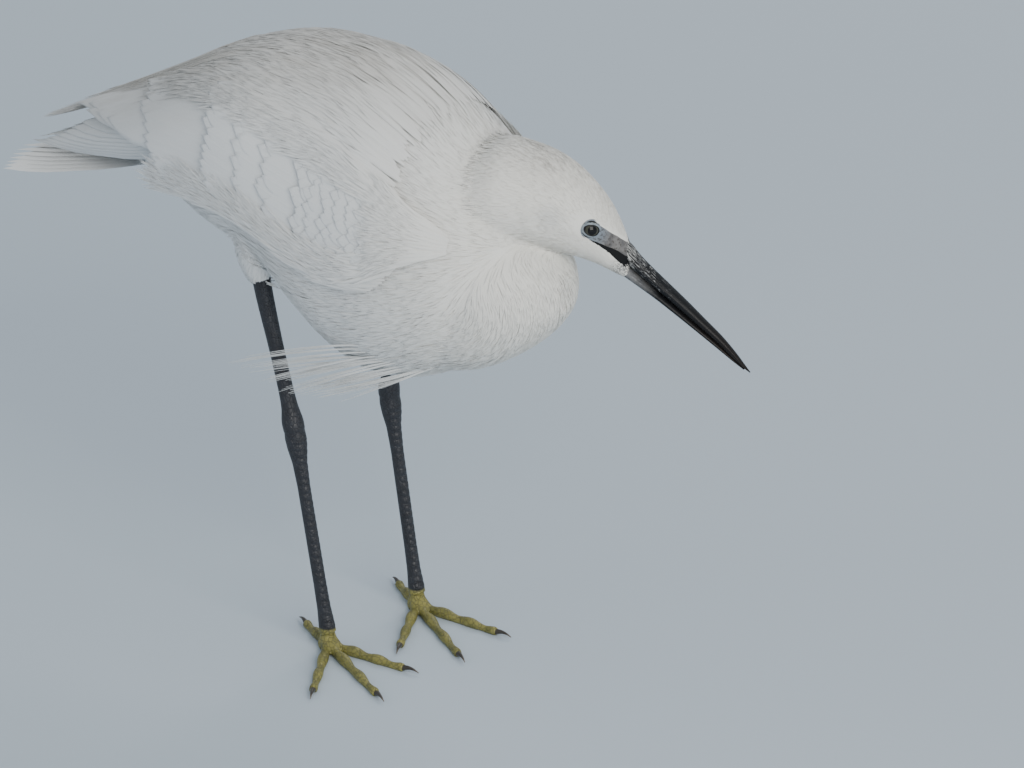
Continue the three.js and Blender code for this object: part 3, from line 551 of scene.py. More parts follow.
def grain_group():
    """Group: fine grain and wider mottling of horn and skin."""
    group = bpy.data.node_groups.get("Horn grain")
    if group:
        return group
    inputs = [("Scale", "NodeSocketFloat", 400.0), ("Stretch", "NodeSocketVector", (1, 1, 1))]
    outputs = [("Fine", "NodeSocketFloat"), ("Mottle", "NodeSocketFloat")]
    nodes, into, out = shader_group("Horn grain", inputs, outputs)
    spot = nodes.add("ShaderNodeTexCoord").outputs["Object"]
    scaled = nodes.add("ShaderNodeVectorMath", {0: spot, 1: into.outputs["Stretch"]}, operation="MULTIPLY")
    drawn = scaled.outputs[0]
    nodes.link(nodes.noise(drawn, into.outputs["Scale"], 5.0, 0.65), out.inputs["Fine"])
    wide = nodes.math("MULTIPLY", into.outputs["Scale"], 0.22)
    nodes.link(nodes.noise(drawn, wide, 4.0, 0.6), out.inputs["Mottle"])
    return nodes.tree


def feather_material(name, vane):
    """White feather: the plumage tint, with painted bluish shade on vanes and painted shade towards the
    roots, and barbs as a bump.
    """
    made = bpy.data.materials.get(name)
    if made:
        return made
    settings = bpy.context.scene.egret
    made = new_material(name, roughness=0.62, specular_ior_level=0.25, sheen_weight=0.12, sheen_roughness=0.5)
    nodes = Nodes(made.node_tree)
    shader = made.node_tree.nodes["Principled BSDF"]
    tint = nodes.add("ShaderNodeGroup", node_tree=plumage_tint())
    tint.inputs["White"].default_value = (*settings.white, 1)
    tint.inputs["Warm light"].default_value = (*settings.warm_light, 1)
    barbs = nodes.add("ShaderNodeGroup", node_tree=fine_lines())
    barbs.inputs["Count"].default_value = 70.0 if vane else 5.0
    along = nodes.add("ShaderNodeAttribute", attribute_name="along").outputs["Fac"]
    # Grey towards the roots: painted shade where the feathers overlap one another.
    root = nodes.smooth(along, 0.0, 0.45, 0.12, 0.0)
    # Vanes take a bluish tint: painted bluish shade on the wing feathers.
    color = nodes.mix(0.22 if vane else 0.0, tint.outputs["Color"], (0.74, 0.79, 0.84, 1))
    color = nodes.mix(root, color, (0.5, 0.5, 0.5, 1))
    color = nodes.mix(nodes.math("MULTIPLY", barbs.outputs["Shade"], 0.09), color, (0.58, 0.575, 0.56, 1))
    nodes.link(color, shader.inputs["Base Color"])
    inputs = {"Height": barbs.outputs["Height"], "Strength": 0.25 if vane else 0.06, "Distance": 0.0003}
    nodes.link(nodes.add("ShaderNodeBump", inputs).outputs[0], shader.inputs["Normal"])
    return made


def skin_material():
    """The skin: pale down under the coat, and the bare blue grey lore and ring round the eye."""
    made = new_material("Egret skin", roughness=0.65, specular_ior_level=0.2)
    nodes = Nodes(made.node_tree)
    shader = made.node_tree.nodes["Principled BSDF"]
    tint = nodes.add("ShaderNodeGroup", node_tree=plumage_tint())
    grain = nodes.add("ShaderNodeGroup", node_tree=grain_group())
    grain.inputs["Scale"].default_value = 900.0
    bare = nodes.add("ShaderNodeAttribute", attribute_name="bare").outputs["Fac"]
    gape = nodes.add("ShaderNodeAttribute", attribute_name="gape").outputs["Fac"]
    near_eye = nodes.add("ShaderNodeAttribute", attribute_name="near_eye").outputs["Fac"]
    mottle = nodes.smooth(grain.outputs["Mottle"], 0.35, 0.62)
    lore = nodes.mix(mottle, (0.115, 0.112, 0.115, 1), (0.215, 0.208, 0.205, 1))
    lore = nodes.mix(nodes.math("MULTIPLY", near_eye, 0.6), lore, (0.27, 0.33, 0.4, 1))
    lore = nodes.mix(nodes.smooth(grain.outputs["Fine"], 0.5, 0.66, 0.0, 0.85), lore, (0.06, 0.05, 0.042, 1))
    ragged = nodes.math("MULTIPLY_ADD", nodes.math("SUBTRACT", grain.outputs["Mottle"], 0.5), 1.1, gape)
    lore = nodes.mix(nodes.smooth(ragged, 0.4, 0.6), lore, (0.006, 0.006, 0.007, 1))
    color = nodes.mix(nodes.smooth(bare, 0.35, 0.65), tint.outputs["Color"], lore)
    nodes.link(color, shader.inputs["Base Color"])
    nodes.link(nodes.smooth(bare, 0.3, 0.7, 0.85, 0.48), shader.inputs["Roughness"])
    inputs = {"Height": grain.outputs["Fine"], "Strength": 0.35, "Distance": 0.0003}
    nodes.link(nodes.add("ShaderNodeBump", inputs).outputs[0], shader.inputs["Normal"])
    return made


# Skin
def coat_depth(form, count):
    """How far the skin lies inside a form at each of its steps."""
    t = np.linspace(0, 1, count)
    if form is HEAD:
        return -np.interp(t, [0, 0.4, 0.62, 0.8, 1], [1.4, 1.1, 0.8, 0.35, 0.1])
    if form is NECK:
        return np.full(count, -1.4)
    return -np.interp(t, [0, 0.1, 0.9, 1], [1.5, 1.9, 1.8, 1.4])


def wing_line(x):
    """Angle of the wing's upper edge and height of its lower edge at a distance ahead."""
    t = np.linspace(0, 1, 1200)
    line = centripetal(WING_EDGES, t)
    order = np.argsort(line[:, 0])
    return np.interp(x, line[order, 0], line[order, 1]), np.interp(x, line[order, 0], line[order, 2])


def wing_spot(x, across, side):
    x, across = np.broadcast_arrays(np.asarray(x, float), np.asarray(across, float))
    upper, low = wing_line(x)
    t = CLOAK.station_at(x)
    return t, side * (np.radians(upper) * (1 - across) + CLOAK.angle_at(t, low) * across)


def wing_flesh(side):
    """The folded wing's flesh under its feathers, as a closed patch."""
    u, v = np.meshgrid(np.linspace(0, 1, 40), np.linspace(0, 1, 24), indexing="ij")
    t, angle = wing_spot(44 - u * 122, 0.08 + 0.84 * v, side)
    rise = np.sin(np.pi * np.clip(v, 0.02, 0.98)) ** 0.5 * np.clip(u * 6, 0.1, 1)
    outer = CLOAK.lifted(t, angle, -4.4 + 2.2 * rise)
    inner = CLOAK.lifted(t, angle, -14.0)
    rows, columns = u.shape
    vertices = np.vstack([outer.reshape(-1, 3), inner.reshape(-1, 3)])
    half = rows * columns
    faces = []
    for i in range(rows - 1):
        for j in range(columns - 1):
            a = i * columns + j
            quad = (a, a + 1, a + columns + 1, a + columns)
            faces += [quad, tuple(k + half for k in reversed(quad))]
    edge = [i * columns for i in range(rows - 1, 0, -1)] + list(range(columns - 1))
    edge += [i * columns + columns - 1 for i in range(rows - 1)]
    edge += [(rows - 1) * columns + j for j in range(columns - 1, 0, -1)]
    for a, b in zip(edge, edge[1:] + edge[:1]):
        faces.append((b, a, a + half, b + half))
    return vertices, orient(vertices, faces)


def bare_share(points):
    """How bare each skin point is: one on the lore and round the eye."""
    local = points - HEAD.pivot
    ahead, across = local @ HEAD.ahead, local @ HEAD.left
    height = points[:, 2]
    brow = [221.5, 222, 220.9, 218.7, 216.2, 214.2, 211.4, 206.5]
    upper = np.interp(ahead, [52, 54, 57.2, 59.6, 62, 64.1, 66.3, 69.5], brow)
    lower = np.interp(ahead, [51, 56.2, 59.9, 62.2, 64.6, 68], [216, 212.3, 208.9, 206.7, 203.6, 199.5])
    inside = np.minimum(upper - height, height - lower)
    wedge = np.clip(inside / 0.5 + 0.5, 0, 1) * np.clip((ahead - 51.2) / 0.6 + 0.5, 0, 1)
    eye = np.min([np.linalg.norm(points - eye_place(side)[0], axis=1) for side in (1, -1)], axis=0)
    ring = np.clip((4.8 - eye) / 0.4 + 0.5, 0, 1)
    return np.maximum(wedge * (np.abs(across) > 0.5), ring), eye


def spread(values, edges, rounds):
    """Values evened out over neighbouring vertices."""
    a, b = edges[:, 0], edges[:, 1]
    count = np.bincount(np.concatenate([a, b]), minlength=len(values)).astype(float)
    count = np.maximum(count, 1)[:, None]
    flat = values.reshape(len(values), -1).astype(float)
    for _ in range(rounds):
        total = np.zeros_like(flat)
        for k in range(flat.shape[1]):
            total[:, k] = np.bincount(a, flat[b, k], len(flat)) + np.bincount(b, flat[a, k], len(flat))
        flat = 0.5 * flat + 0.5 * total / count
    return flat.reshape(values.shape)


BODY = {}


def lay_of_coat(points):
    """For each skin point: the form it belongs to, its place along it, and the way the feathers point."""
    samples, ways, forms, places = [], [], [], []
    for k, (form, steps, around) in enumerate([(TORSO, 70, 60), (NECK, 40, 48), (HEAD, 60, 48)]):
        t = np.linspace(0, 1, steps + 1)[:, None]
        angle = ((np.arange(around) + 0.5) / around * 2 * np.pi)[None, :]
        depth = coat_depth(form, steps + 1)
        samples.append(form.grid(steps, around, depth).reshape(-1, 3))
        way = -form.along(t + 0 * angle, angle + 0 * t)
        if form is NECK:
            middle = NECK.place(20, 0, 182)
            offset = form.point(t, angle) - middle
            ahead = (offset * form.ahead).sum(-1)
            way = (offset[..., 2:] - 14) * form.ahead + (-ahead - 9)[..., None] * np.array([0, 0, 1.0])
        if form is TORSO:
            way = unit(way) + np.array([0, 0, -0.16])
        ways.append(unit(way).reshape(-1, 3))
        forms.append(np.full(ways[-1].shape[0], k))
        places.append(np.broadcast_to(t, (steps + 1, around)).reshape(-1))
    for leg in LEGS.values():
        path = resample(leg["thigh"], 24)
        rings = tube(path[:, :3], path[:, 3] - 1.2, 20)
        samples.append(rings.reshape(-1, 3))
        ways.append(np.repeat(unit(np.gradient(path[:, :3], axis=0)), 20, axis=0))
        forms.append(np.full(480, 3))
        places.append(np.repeat(np.linspace(0, 1, 24), 20))
    samples, ways, forms, places = (np.concatenate(v) for v in (samples, ways, forms, places))
    index, _ = nearest(samples, points)
    return forms[index], places[index], ways[index]


def refine_face(mesh):
    """Smaller faces round the eyes and on the lore, where the skin is bare."""
    work = bmesh.new()
    work.from_mesh(mesh)
    spots = np.array([v.co[:] for v in work.verts]) * 1000 - SHIFT
    local = spots - HEAD.pivot
    near = ((local @ HEAD.ahead) > 47) & (spots[:, 2] > 190) & (spots[:, 2] < 227)
    work.edges.ensure_lookup_table()
    chosen = [e for e in work.edges if near[e.verts[0].index] and near[e.verts[1].index]]
    bmesh.ops.subdivide_edges(work, edges=chosen, cuts=2, use_grid_fill=True)
    work.to_mesh(mesh)
    work.free()


def make_skin(settings):
    """The one skin of head, neck, body and thighs."""
    parts = [loft(TORSO.grid(96, 96, coat_depth(TORSO, 97)))]
    parts.append(loft(NECK.grid(60, 72, coat_depth(NECK, 61))))
    parts.append(loft(HEAD.grid(90, 72, coat_depth(HEAD, 91))))
    parts += [wing_flesh(side) for side in (1, -1)]
    for leg in LEGS.values():
        path = resample(leg["thigh"], 40)
        parts.append(loft(tube(path[:, :3], path[:, 3] - 1.2, 40)))
    skin = new_object("body_skin", *join(parts))
    remesh = skin.modifiers.new("Remesh", "REMESH")
    remesh.mode = "VOXEL"
    remesh.voxel_size = settings.skin_cell
    even = skin.modifiers.new("Even", "SMOOTH")
    even.factor = 0.5
    even.iterations = 7
    mesh = bpy.data.meshes.new_from_object(skin.evaluated_get(bpy.context.evaluated_depsgraph_get()))
    skin.modifiers.clear()
    skin.data = mesh
    refine_face(mesh)
    mesh.shade_smooth()
    mesh.materials.clear()
    mesh.materials.append(skin_material())
    points = vertex_places(mesh) * 1000 - SHIFT
    bare, eye = bare_share(points)
    local = points - HEAD.pivot
    ahead, height = local @ HEAD.ahead, points[:, 2]
    run = np.interp(ahead, [51, 56.2, 59.9, 62.2, 64.6, 68], [215.8, 212.7, 209.6, 207.6, 205.2, 201.5])
    half = np.interp(ahead, [51, 56, 60, 65], [0.25, 1.0, 1.9, 3.2])
    gape = np.clip((half - np.abs(height - run)) / 0.5 + 0.5, 0, 1) * (ahead > 51.5)
    set_values(mesh, "bare", bare)
    set_values(mesh, "gape", gape)
    set_values(mesh, "near_eye", np.clip(1.9 - eye / 5.5, 0, 1))
    layer = mesh.uv_layers.new(name="OFBake")
    mesh.uv_layers.active = layer
    bpy.context.view_layer.objects.active = skin
    skin.select_set(True)
    bpy.ops.object.mode_set(mode="EDIT")
    bpy.ops.mesh.select_all(action="SELECT")
    bpy.ops.uv.smart_project(angle_limit=math.radians(66), island_margin=0.004)
    bpy.ops.object.mode_set(mode="OBJECT")
    skin.select_set(False)
    nodes = ["torso", "neck_lower", "neck_upper", "head", "thigh_left", "thigh_right"]
    finished(skin, "body_skin", nodes)
    forms, places, ways = lay_of_coat(points)
    mesh.calc_loop_triangles()
    edges = np.zeros(len(mesh.edges) * 2, np.int32)
    mesh.edges.foreach_get("vertices", edges)
    edges = edges.reshape(-1, 2)
    normals = vertex_normals(mesh)
    ways = unit(spread(ways, edges, 18))
    ways = unit(ways - normals * (ways * normals).sum(-1, keepdims=True))
    set_values(mesh, "skin_normal", normals, "FLOAT_VECTOR")
    BODY.update(skin=skin, points=points, normals=normals, forms=forms, places=places, ways=ways)
    BODY.update(bare=bare, eye=eye, edges=edges)
    return skin


# Feathers that lie over the skin
def prototype(name, rows, columns, outline, notch=0.0, seed=1, under=True):
    """One feather of unit size, closed, with its place along and across it and its rise stored on it."""
    rng = np.random.default_rng(seed)
    along = np.linspace(0, 1, rows + 1)[:-1]
    half = np.interp(along, *np.array(outline).T)
    lanes = np.linspace(-1, 1, columns + 1)
    s, t, h = [], [], []
    for i, a in enumerate(along):
        cuts = 1 - notch * rng.random(2) * (a > 0.35)
        for face in (1, 0) if under else (1,):
            for lane in lanes if face else lanes[1:-1]:
                edge = cuts[int(lane > 0)] if abs(lane) == 1 else 1
                s.append(a - 0.06 * abs(lane) * a)
                t.append(lane * half[i] * edge)
                h.append(1 - abs(lane) if face else -0.35 * (1 - abs(lane)))
    size = 2 * columns if under else columns + 1
    tip = len(s)
    s.append(1.0)
    t.append(0.0)
    h.append(0.0)
    faces = []
    loop = [*range(columns + 1), *range(size - 1, columns, -1)]
    for i in range(rows - 1):
        for k in range(size):
            a, b = loop[k] + i * size, loop[(k + 1) % size] + i * size
            faces.append((a, a + size, b + size, b))
    for k in range(size):
        a, b = loop[k] + (rows - 1) * size, loop[(k + 1) % size] + (rows - 1) * size
        faces.append((a, tip, b))
    faces.append(tuple(loop[k] for k in range(size)))
    s, t, h = (np.array(v) for v in (s, t, h))
    vertices = np.stack([s, t, h * 0.2], axis=1)
    faces = orient(vertices, faces)
    mesh = bpy.data.meshes.new(name)
    mesh.from_pydata(vertices.tolist(), [], faces)
    mesh.update()
    set_values(mesh, "along", s)
    set_values(mesh, "across", t)
    set_values(mesh, "rise", h)
    piece = bpy.data.objects.new(name, mesh)
    bpy.context.scene.collection.objects.link(piece)
    piece.hide_render = True
    return piece


def feather_tree():
    """Geometry nodes that set one feather on each root and lay it over the surface below."""
    tree = bpy.data.node_groups.get("Lay feathers")
    if tree:
        return tree
    tree = bpy.data.node_groups.new("Lay feathers", "GeometryNodeTree")
    sockets = {}
    for label, kind in [
        ("Roots", "NodeSocketGeometry"), ("Feather", "NodeSocketObject"), ("Surface", "NodeSocketObject"),
        ("Material", "NodeSocketMaterial"), ("Thickness", "NodeSocketFloat"), ("Cling", "NodeSocketFloat"),
        ("Camber", "NodeSocketFloat"),
    ]:
        sockets[label] = tree.interface.new_socket(name=label, in_out="INPUT", socket_type=kind)
    tree.interface.new_socket(name="Feathers", in_out="OUTPUT", socket_type="NodeSocketGeometry")
    nodes = Nodes(tree)
    into, out = nodes.add("NodeGroupInput"), nodes.add("NodeGroupOutput")
    get = into.outputs

    def stored(name, kind="FLOAT"):
        named = nodes.add("GeometryNodeInputNamedAttribute", {"Name": name}, data_type=kind)
        return named.outputs["Attribute"]

    feather = nodes.add("GeometryNodeObjectInfo", {"Object": get["Feather"]})
    surface = nodes.add("GeometryNodeObjectInfo", {"Object": get["Surface"]})
    set_down = nodes.add(
        "GeometryNodeInstanceOnPoints", {"Points": get["Roots"], "Instance": feather.outputs["Geometry"]}
    )
    real = nodes.add("GeometryNodeRealizeInstances", {"Geometry": set_down.outputs[0]})
    along, across, rise = stored("along"), stored("across"), stored("rise")
    root, way, up = (stored(n, "FLOAT_VECTOR") for n in ("root", "way", "up"))
    side = nodes.vector("CROSS_PRODUCT", up, way)
    length, width = stored("length"), stored("width")

    def scaled(vector, factor):
        return nodes.add("ShaderNodeVectorMath", {0: vector, "Scale": factor}, operation="SCALE").outputs[0]

    reach = nodes.math("MULTIPLY", along, length)
    late = nodes.math("MULTIPLY", nodes.math("MULTIPLY", along, along), length)
    bend = nodes.math("MULTIPLY", late, stored("bend"))
    sideways = nodes.math("MULTIPLY_ADD", nodes.math("MULTIPLY", across, width), 0.5, bend)
    flat = nodes.vector("ADD", nodes.vector("ADD", root, scaled(way, reach)), scaled(side, sideways))
    where = nodes.add("GeometryNodeInputPosition").outputs[0]
    found = nodes.add(
        "GeometryNodeSampleNearestSurface",
        {"Mesh": surface.outputs["Geometry"], "Value": where, "Sample Position": flat},
        data_type="FLOAT_VECTOR",
    ).outputs["Value"]
    facing = nodes.add(
        "GeometryNodeSampleNearestSurface",
        {
            "Mesh": surface.outputs["Geometry"],
            "Value": stored("skin_normal", "FLOAT_VECTOR"),
            "Sample Position": flat,
        },
        data_type="FLOAT_VECTOR",
    ).outputs["Value"]
    cling = get["Cling"]
    base = nodes.add("ShaderNodeMix", {"Factor": cling, 4: flat, 5: found}, data_type="VECTOR").outputs[1]
    off = nodes.add("ShaderNodeMix", {"Factor": cling, 4: up, 5: facing}, data_type="VECTOR").outputs[1]
    grow = nodes.math("POWER", along, 0.8)
    sunk, stand, tilt = stored("sunk"), stored("stand"), stored("tilt")
    lift = nodes.math("ADD", sunk, nodes.math("MULTIPLY", grow, nodes.math("SUBTRACT", stand, sunk)))
    lift = nodes.math("MULTIPLY_ADD", nodes.math("MULTIPLY", across, width), tilt, lift)
    squared = nodes.math("MULTIPLY", across, across)
    bowl = nodes.math("MULTIPLY", squared, nodes.math("MULTIPLY", width, get["Camber"]))
    lift = nodes.math("SUBTRACT", lift, bowl)
    lift = nodes.math("MULTIPLY_ADD", rise, get["Thickness"], lift)
    final = nodes.vector("ADD", base, scaled(off, lift))
    facing_kept = nodes.add(
        "GeometryNodeStoreNamedAttribute",
        {"Geometry": real.outputs[0], "Name": "lie", "Value": off},
        data_type="FLOAT_VECTOR",
    )
    laid = nodes.add("GeometryNodeSetPosition", {"Geometry": facing_kept.outputs[0], "Position": final})
    patch_x, patch_y = nodes.math("SUBTRACT", along, 0.5), nodes.math("MULTIPLY", across, 0.5)
    patch = nodes.add("ShaderNodeCombineXYZ", {0: patch_x, 1: patch_y})
    spot = nodes.vector("ADD", stored("root_uv", "FLOAT_VECTOR"), scaled(patch.outputs[0], 0.003))
    mapped = nodes.add(
        "GeometryNodeStoreNamedAttribute",
        {"Geometry": laid.outputs[0], "Name": "OFBake", "Value": spot},
        data_type="FLOAT2",
        domain="CORNER",
    )
    last = mapped.outputs[0]
    for name in ("root", "way", "up", "length", "width", "bend", "sunk", "stand", "tilt", "root_uv", "rise"):
        last = nodes.add("GeometryNodeRemoveAttribute", {"Geometry": last, "Name": name}).outputs[0]
    smooth = nodes.add("GeometryNodeSetShadeSmooth", {"Geometry": last})
    finish = {"Geometry": smooth.outputs[0], "Material": get["Material"]}
    painted = nodes.add("GeometryNodeSetMaterial", finish)
    nodes.link(painted.outputs[0], out.inputs[0])
    return tree


def soften(mesh, share):
    """Turns the normals part of the way to the surface below, so that the coat shades as one."""
    lie = np.zeros(len(mesh.vertices) * 3, np.float32)
    mesh.attributes["lie"].data.foreach_get("vector", lie)
    lie = unit(lie.reshape(-1, 3).astype(float))
    both = unit(vertex_normals(mesh) * (1 - share) + lie * share)
    mesh.attributes.remove(mesh.attributes["lie"])
    corner, sizes = np.zeros(len(mesh.loops), np.int32), np.zeros(len(mesh.polygons), np.int32)
    mesh.loops.foreach_get("vertex_index", corner)
    mesh.polygons.foreach_get("loop_total", sizes)
    faces = np.zeros(len(mesh.polygons) * 3, np.float32)
    mesh.polygons.foreach_get("normal", faces)
    face = np.repeat(unit(faces.reshape(-1, 3).astype(float)), sizes, axis=0)
    mine = both[corner]
    toward = (mine * face).sum(-1, keepdims=True)
    mine = np.where(toward < 0.15, unit(mine + face * (0.3 - toward)), mine)
    mesh.normals_split_custom_set(mine.tolist())


def lay_feathers(name, roots, feather, surface, material, thickness, cling=1.0, camber=0.0, soft=0.8):
    """Makes one piece of feathers from their roots, as a plain mesh."""
    count = len(roots["root"])
    mesh = bpy.data.meshes.new(name)
    mesh.from_pydata(metres(roots["root"]).tolist(), [], [])
    set_values(mesh, "root", metres(roots["root"]), "FLOAT_VECTOR")
    for key in ("way", "up"):
        set_values(mesh, key, roots[key], "FLOAT_VECTOR")
    for key in ("length", "width", "sunk", "stand"):
        set_values(mesh, key, np.broadcast_to(roots[key], count) / 1000)
    for key in ("bend", "tilt", "tone"):
        set_values(mesh, key, np.broadcast_to(roots[key], count))
    set_values(mesh, "root_uv", skin_uv_at(roots), "FLOAT_VECTOR")
    piece = bpy.data.objects.new(name, mesh)
    bpy.context.scene.collection.objects.link(piece)
    modifier = piece.modifiers.new("Lay feathers", "NODES")
    modifier.node_group = feather_tree()
    values = {
        "Feather": feather, "Surface": surface, "Material": material, "Thickness": thickness / 1000,
        "Cling": cling, "Camber": camber,
    }
    for item in modifier.node_group.interface.items_tree:
        if item.item_type == "SOCKET" and item.in_out == "INPUT" and item.name in values:
            modifier[item.identifier] = values[item.name]
    graph = bpy.context.evaluated_depsgraph_get()
    made = bpy.data.meshes.new_from_object(piece.evaluated_get(graph), depsgraph=graph)
    piece.modifiers.clear()
    piece.data = made
    bpy.data.meshes.remove(mesh)
    soften(made, soft)
    return finished(piece, name)


def skin_uv_at(roots):
    """The place of each root on the skin's unwrap."""
    if "root_uv" in roots:
        flat = roots["root_uv"]
    else:
        mesh = BODY["skin"].data
        uv = np.zeros(len(mesh.loops) * 2, np.float32)
        mesh.uv_layers["OFBake"].data.foreach_get("uv", uv)
        corner = np.zeros(len(mesh.loops), np.int32)
        mesh.loops.foreach_get("vertex_index", corner)
        first = np.zeros(len(mesh.vertices), np.int32)
        first[corner] = np.arange(len(corner))
        index, _ = nearest(BODY["points"][::3], roots["root"])
        flat = uv.reshape(-1, 2)[first[index * 3]]
    return np.column_stack([flat, np.zeros(len(flat))])


# Coat
COAT_SIZES = {
    # form: places along it, then feather length, width, spacing and stand in millimetres at each
    0: ([0, 0.3, 0.8, 1], [24, 21, 17, 14], [1.7, 1.6, 1.4, 1.2],
        [1.6, 1.5, 1.35, 1.2], [1.6, 1.5, 1.3, 1.1]),
    1: ([0, 0.5, 1], [16, 14, 11], [1.2, 1.1, 1.0], [1.2, 1.15, 1.05], [1.2, 1.1, 0.9]),
    2: ([0, 0.35, 0.6, 0.85, 1], [12, 9, 6.2, 3.6, 2.6], [1.0, 0.85, 0.7, 0.5, 0.42],
        [1.0, 0.85, 0.7, 0.54, 0.48], [0.95, 0.8, 0.55, 0.28, 0.18]),
    3: ([0, 0.8, 1], [18, 15, 13], [1.4, 1.1, 1.0], [1.3, 1.0, 0.9], [1.8, 1.4, 1.1]),
}
COAT_PIECE = 180000


def coat_values():
    """Length, width, spacing and stand of the coat at each skin point, evened out between the forms."""
    forms, places = BODY["forms"], BODY["places"]
    values = np.zeros((len(forms), 4))
    for form, (at, *columns) in COAT_SIZES.items():
        mine = forms == form
        for k, column in enumerate(columns):
            values[mine, k] = np.interp(places[mine], at, column)
    return spread(values, BODY["edges"], 30)


def coat_region(points, forms):
    """The name of the coat piece that each root belongs to."""
    x, y, z = points.T
    name = np.full(len(points), "coat_back_front", object)
    name[(forms == 0) & (x < -18)] = "coat_back_rear"
    low = (forms == 0) & (z < 205)
    name[low & (y < 0)] = "coat_flank_right"
    name[low & (y >= 0)] = "coat_flank_left"
    name[low & (x > 8)] = "coat_breast"
    name[(forms == 0) & (x > 44) & (z >= 205)] = "coat_shoulders"
    name[forms == 1] = "coat_neck"
    local = (points - HEAD.pivot) @ HEAD.left
    name[(forms == 2) & (local >= 0)] = "coat_head_left"
    name[(forms == 2) & (local < 0)] = "coat_head_right"
    name[forms == 3] = "coat_thighs"
    return name


def scatter_roots(rng, settings):
    """Feather roots over the skin, thick where the feathers are small."""
    mesh = BODY["skin"].data
    count = len(mesh.loop_triangles)
    corners = np.zeros(count * 3, np.int32)
    mesh.loop_triangles.foreach_get("vertices", corners)
    corners = corners.reshape(-1, 3)
    p = BODY["points"][corners]
    area = np.linalg.norm(np.cross(p[:, 1] - p[:, 0], p[:, 2] - p[:, 0]), axis=1) / 2
    values = coat_values()
    spacing = values[:, 2][corners].mean(1)
    bare = BODY["bare"][corners].mean(1)
    expected = area / spacing**2 * settings.coat_density * (bare < 0.45)
    picked = np.repeat(np.arange(count), rng.poisson(expected))
    w = rng.random((len(picked), 2))
    w = np.where(w.sum(1, keepdims=True) > 1, 1 - w, w)
    w = np.column_stack([1 - w.sum(1), w])[..., None]
    tri = corners[picked]
    mixed = {key: (BODY[key][tri] * w).sum(1) for key in ("points", "normals", "ways")}
    value = (values[tri] * w).sum(1)
    uv = np.zeros(len(mesh.loops) * 2, np.float32)
    mesh.uv_layers["OFBake"].data.foreach_get("uv", uv)
    loops = np.zeros(count * 3, np.int32)
    mesh.loop_triangles.foreach_get("loops", loops)
    root_uv = (uv.reshape(-1, 2)[loops.reshape(-1, 3)[picked]] * w).sum(1)
    return mixed, value, BODY["forms"][tri[:, 0]], root_uv


def soft_folds(points):
    """A slow change of the coat's height, in folds that run along the body."""
    x, y, z = points.T
    waves = np.sin(0.11 * z + 0.045 * x + 0.6) + 0.7 * np.sin(0.17 * z - 0.06 * x + 0.05 * y)
    return 1 + 0.16 * waves + 0.1 * np.sin(0.21 * x + 0.13 * y)


def make_coat(settings):
    """The short feathers of head, neck, body and thighs, laid over the skin piece by piece."""
    rng = np.random.default_rng(41)
    mixed, value, forms, root_uv = scatter_roots(rng, settings)
    points, normals = mixed["points"], unit(mixed["normals"])
    count = len(points)
    ways = unit(mixed["ways"])
    swing = rng.normal(0, 0.055, count)[:, None]
    side = np.cross(normals, ways)
    ways = unit(ways + side * swing)
    grow = rng.uniform(0.75, 1.2, count)
    length, width, _, stand = value.T
    stand = stand * soft_folds(points)
    regions = coat_region(points, forms)
    keep = ~wing_cover(points) | (rng.random(count) < 0.05)
    small = prototype("small_feather", 3, 2, [(0, 0.55), (0.35, 1), (0.7, 0.75), (1, 0)], under=False)
    outline = [(0, 0.5), (0.3, 1), (0.6, 0.85), (0.85, 0.42), (1, 0)]
    long = prototype("body_feather", 4, 2, outline, under=False)
    white = feather_material("Egret down feather", False)
    made = []
    for name in sorted(set(regions)):
        head = name.startswith("coat_head")
        proto = small if head else long
        mine = np.flatnonzero((regions == name) & keep)
        mine = mine[np.argsort(points[mine, 0])]
        parts = math.ceil(len(mine) * (16 if head else 22) / COAT_PIECE)
        for k, some in enumerate(np.array_split(mine, parts)):
            count = len(some)
            roots = {
                "root": points[some], "way": ways[some], "up": normals[some],
                "length": (length * grow)[some], "width": width[some] * rng.uniform(0.8, 1.2, count),
                "sunk": -0.45 if head else -0.7, "stand": stand[some] * rng.uniform(0.78, 1.08, count),
                "bend": rng.normal(0, 0.04, count), "tilt": rng.normal(0, 0.05, count),
                "tone": rng.random(count), "root_uv": root_uv[some],
            }
            label = name if parts == 1 else f"{name}_{k + 1}"
            made.append(lay_feathers(label, roots, proto, BODY["skin"], white, 0.08 if head else 0.11))
    return made


def wing_cover(points):
    """Whether a skin point lies under the wing's feathers."""
    x, y, z = points.T
    upper, low = wing_line(x)
    angle = np.degrees(np.arctan2(np.abs(y), z - 225))
    return (angle > upper + 9) & (z > low + 7) & (x < 36) & (x > -132)


# Wings and tail
WING_TIERS = [
    # root, tip at the upper and lower ends, how many, half width, share of the wing, stand, outline
    *[
        (47 - 6.2 * k, (33 - 6.8 * k, 31 - 6.4 * k), 15, 3.7 + 0.22 * k, (0.05, 0.96), 0.3 + 0.08 * k, 0)
        for k in range(7)
    ],
    (3, (-29, -25), 14, 6.2, (0.0, 0.97), 0.95, 0),
    (-8, (-46, -40), 13, 6.8, (0.0, 0.97), 1.1, 0),
    (-20, (-66, -58), 13, 7.4, (0.0, 0.97), 1.3, 1),
    (-42, (-119, -94), 12, 8.4, (0.02, 0.98), 1.5, 1),
    (-60, (-170, -132), 6, 11.0, (0.02, 0.62), 2.2, 1),
]


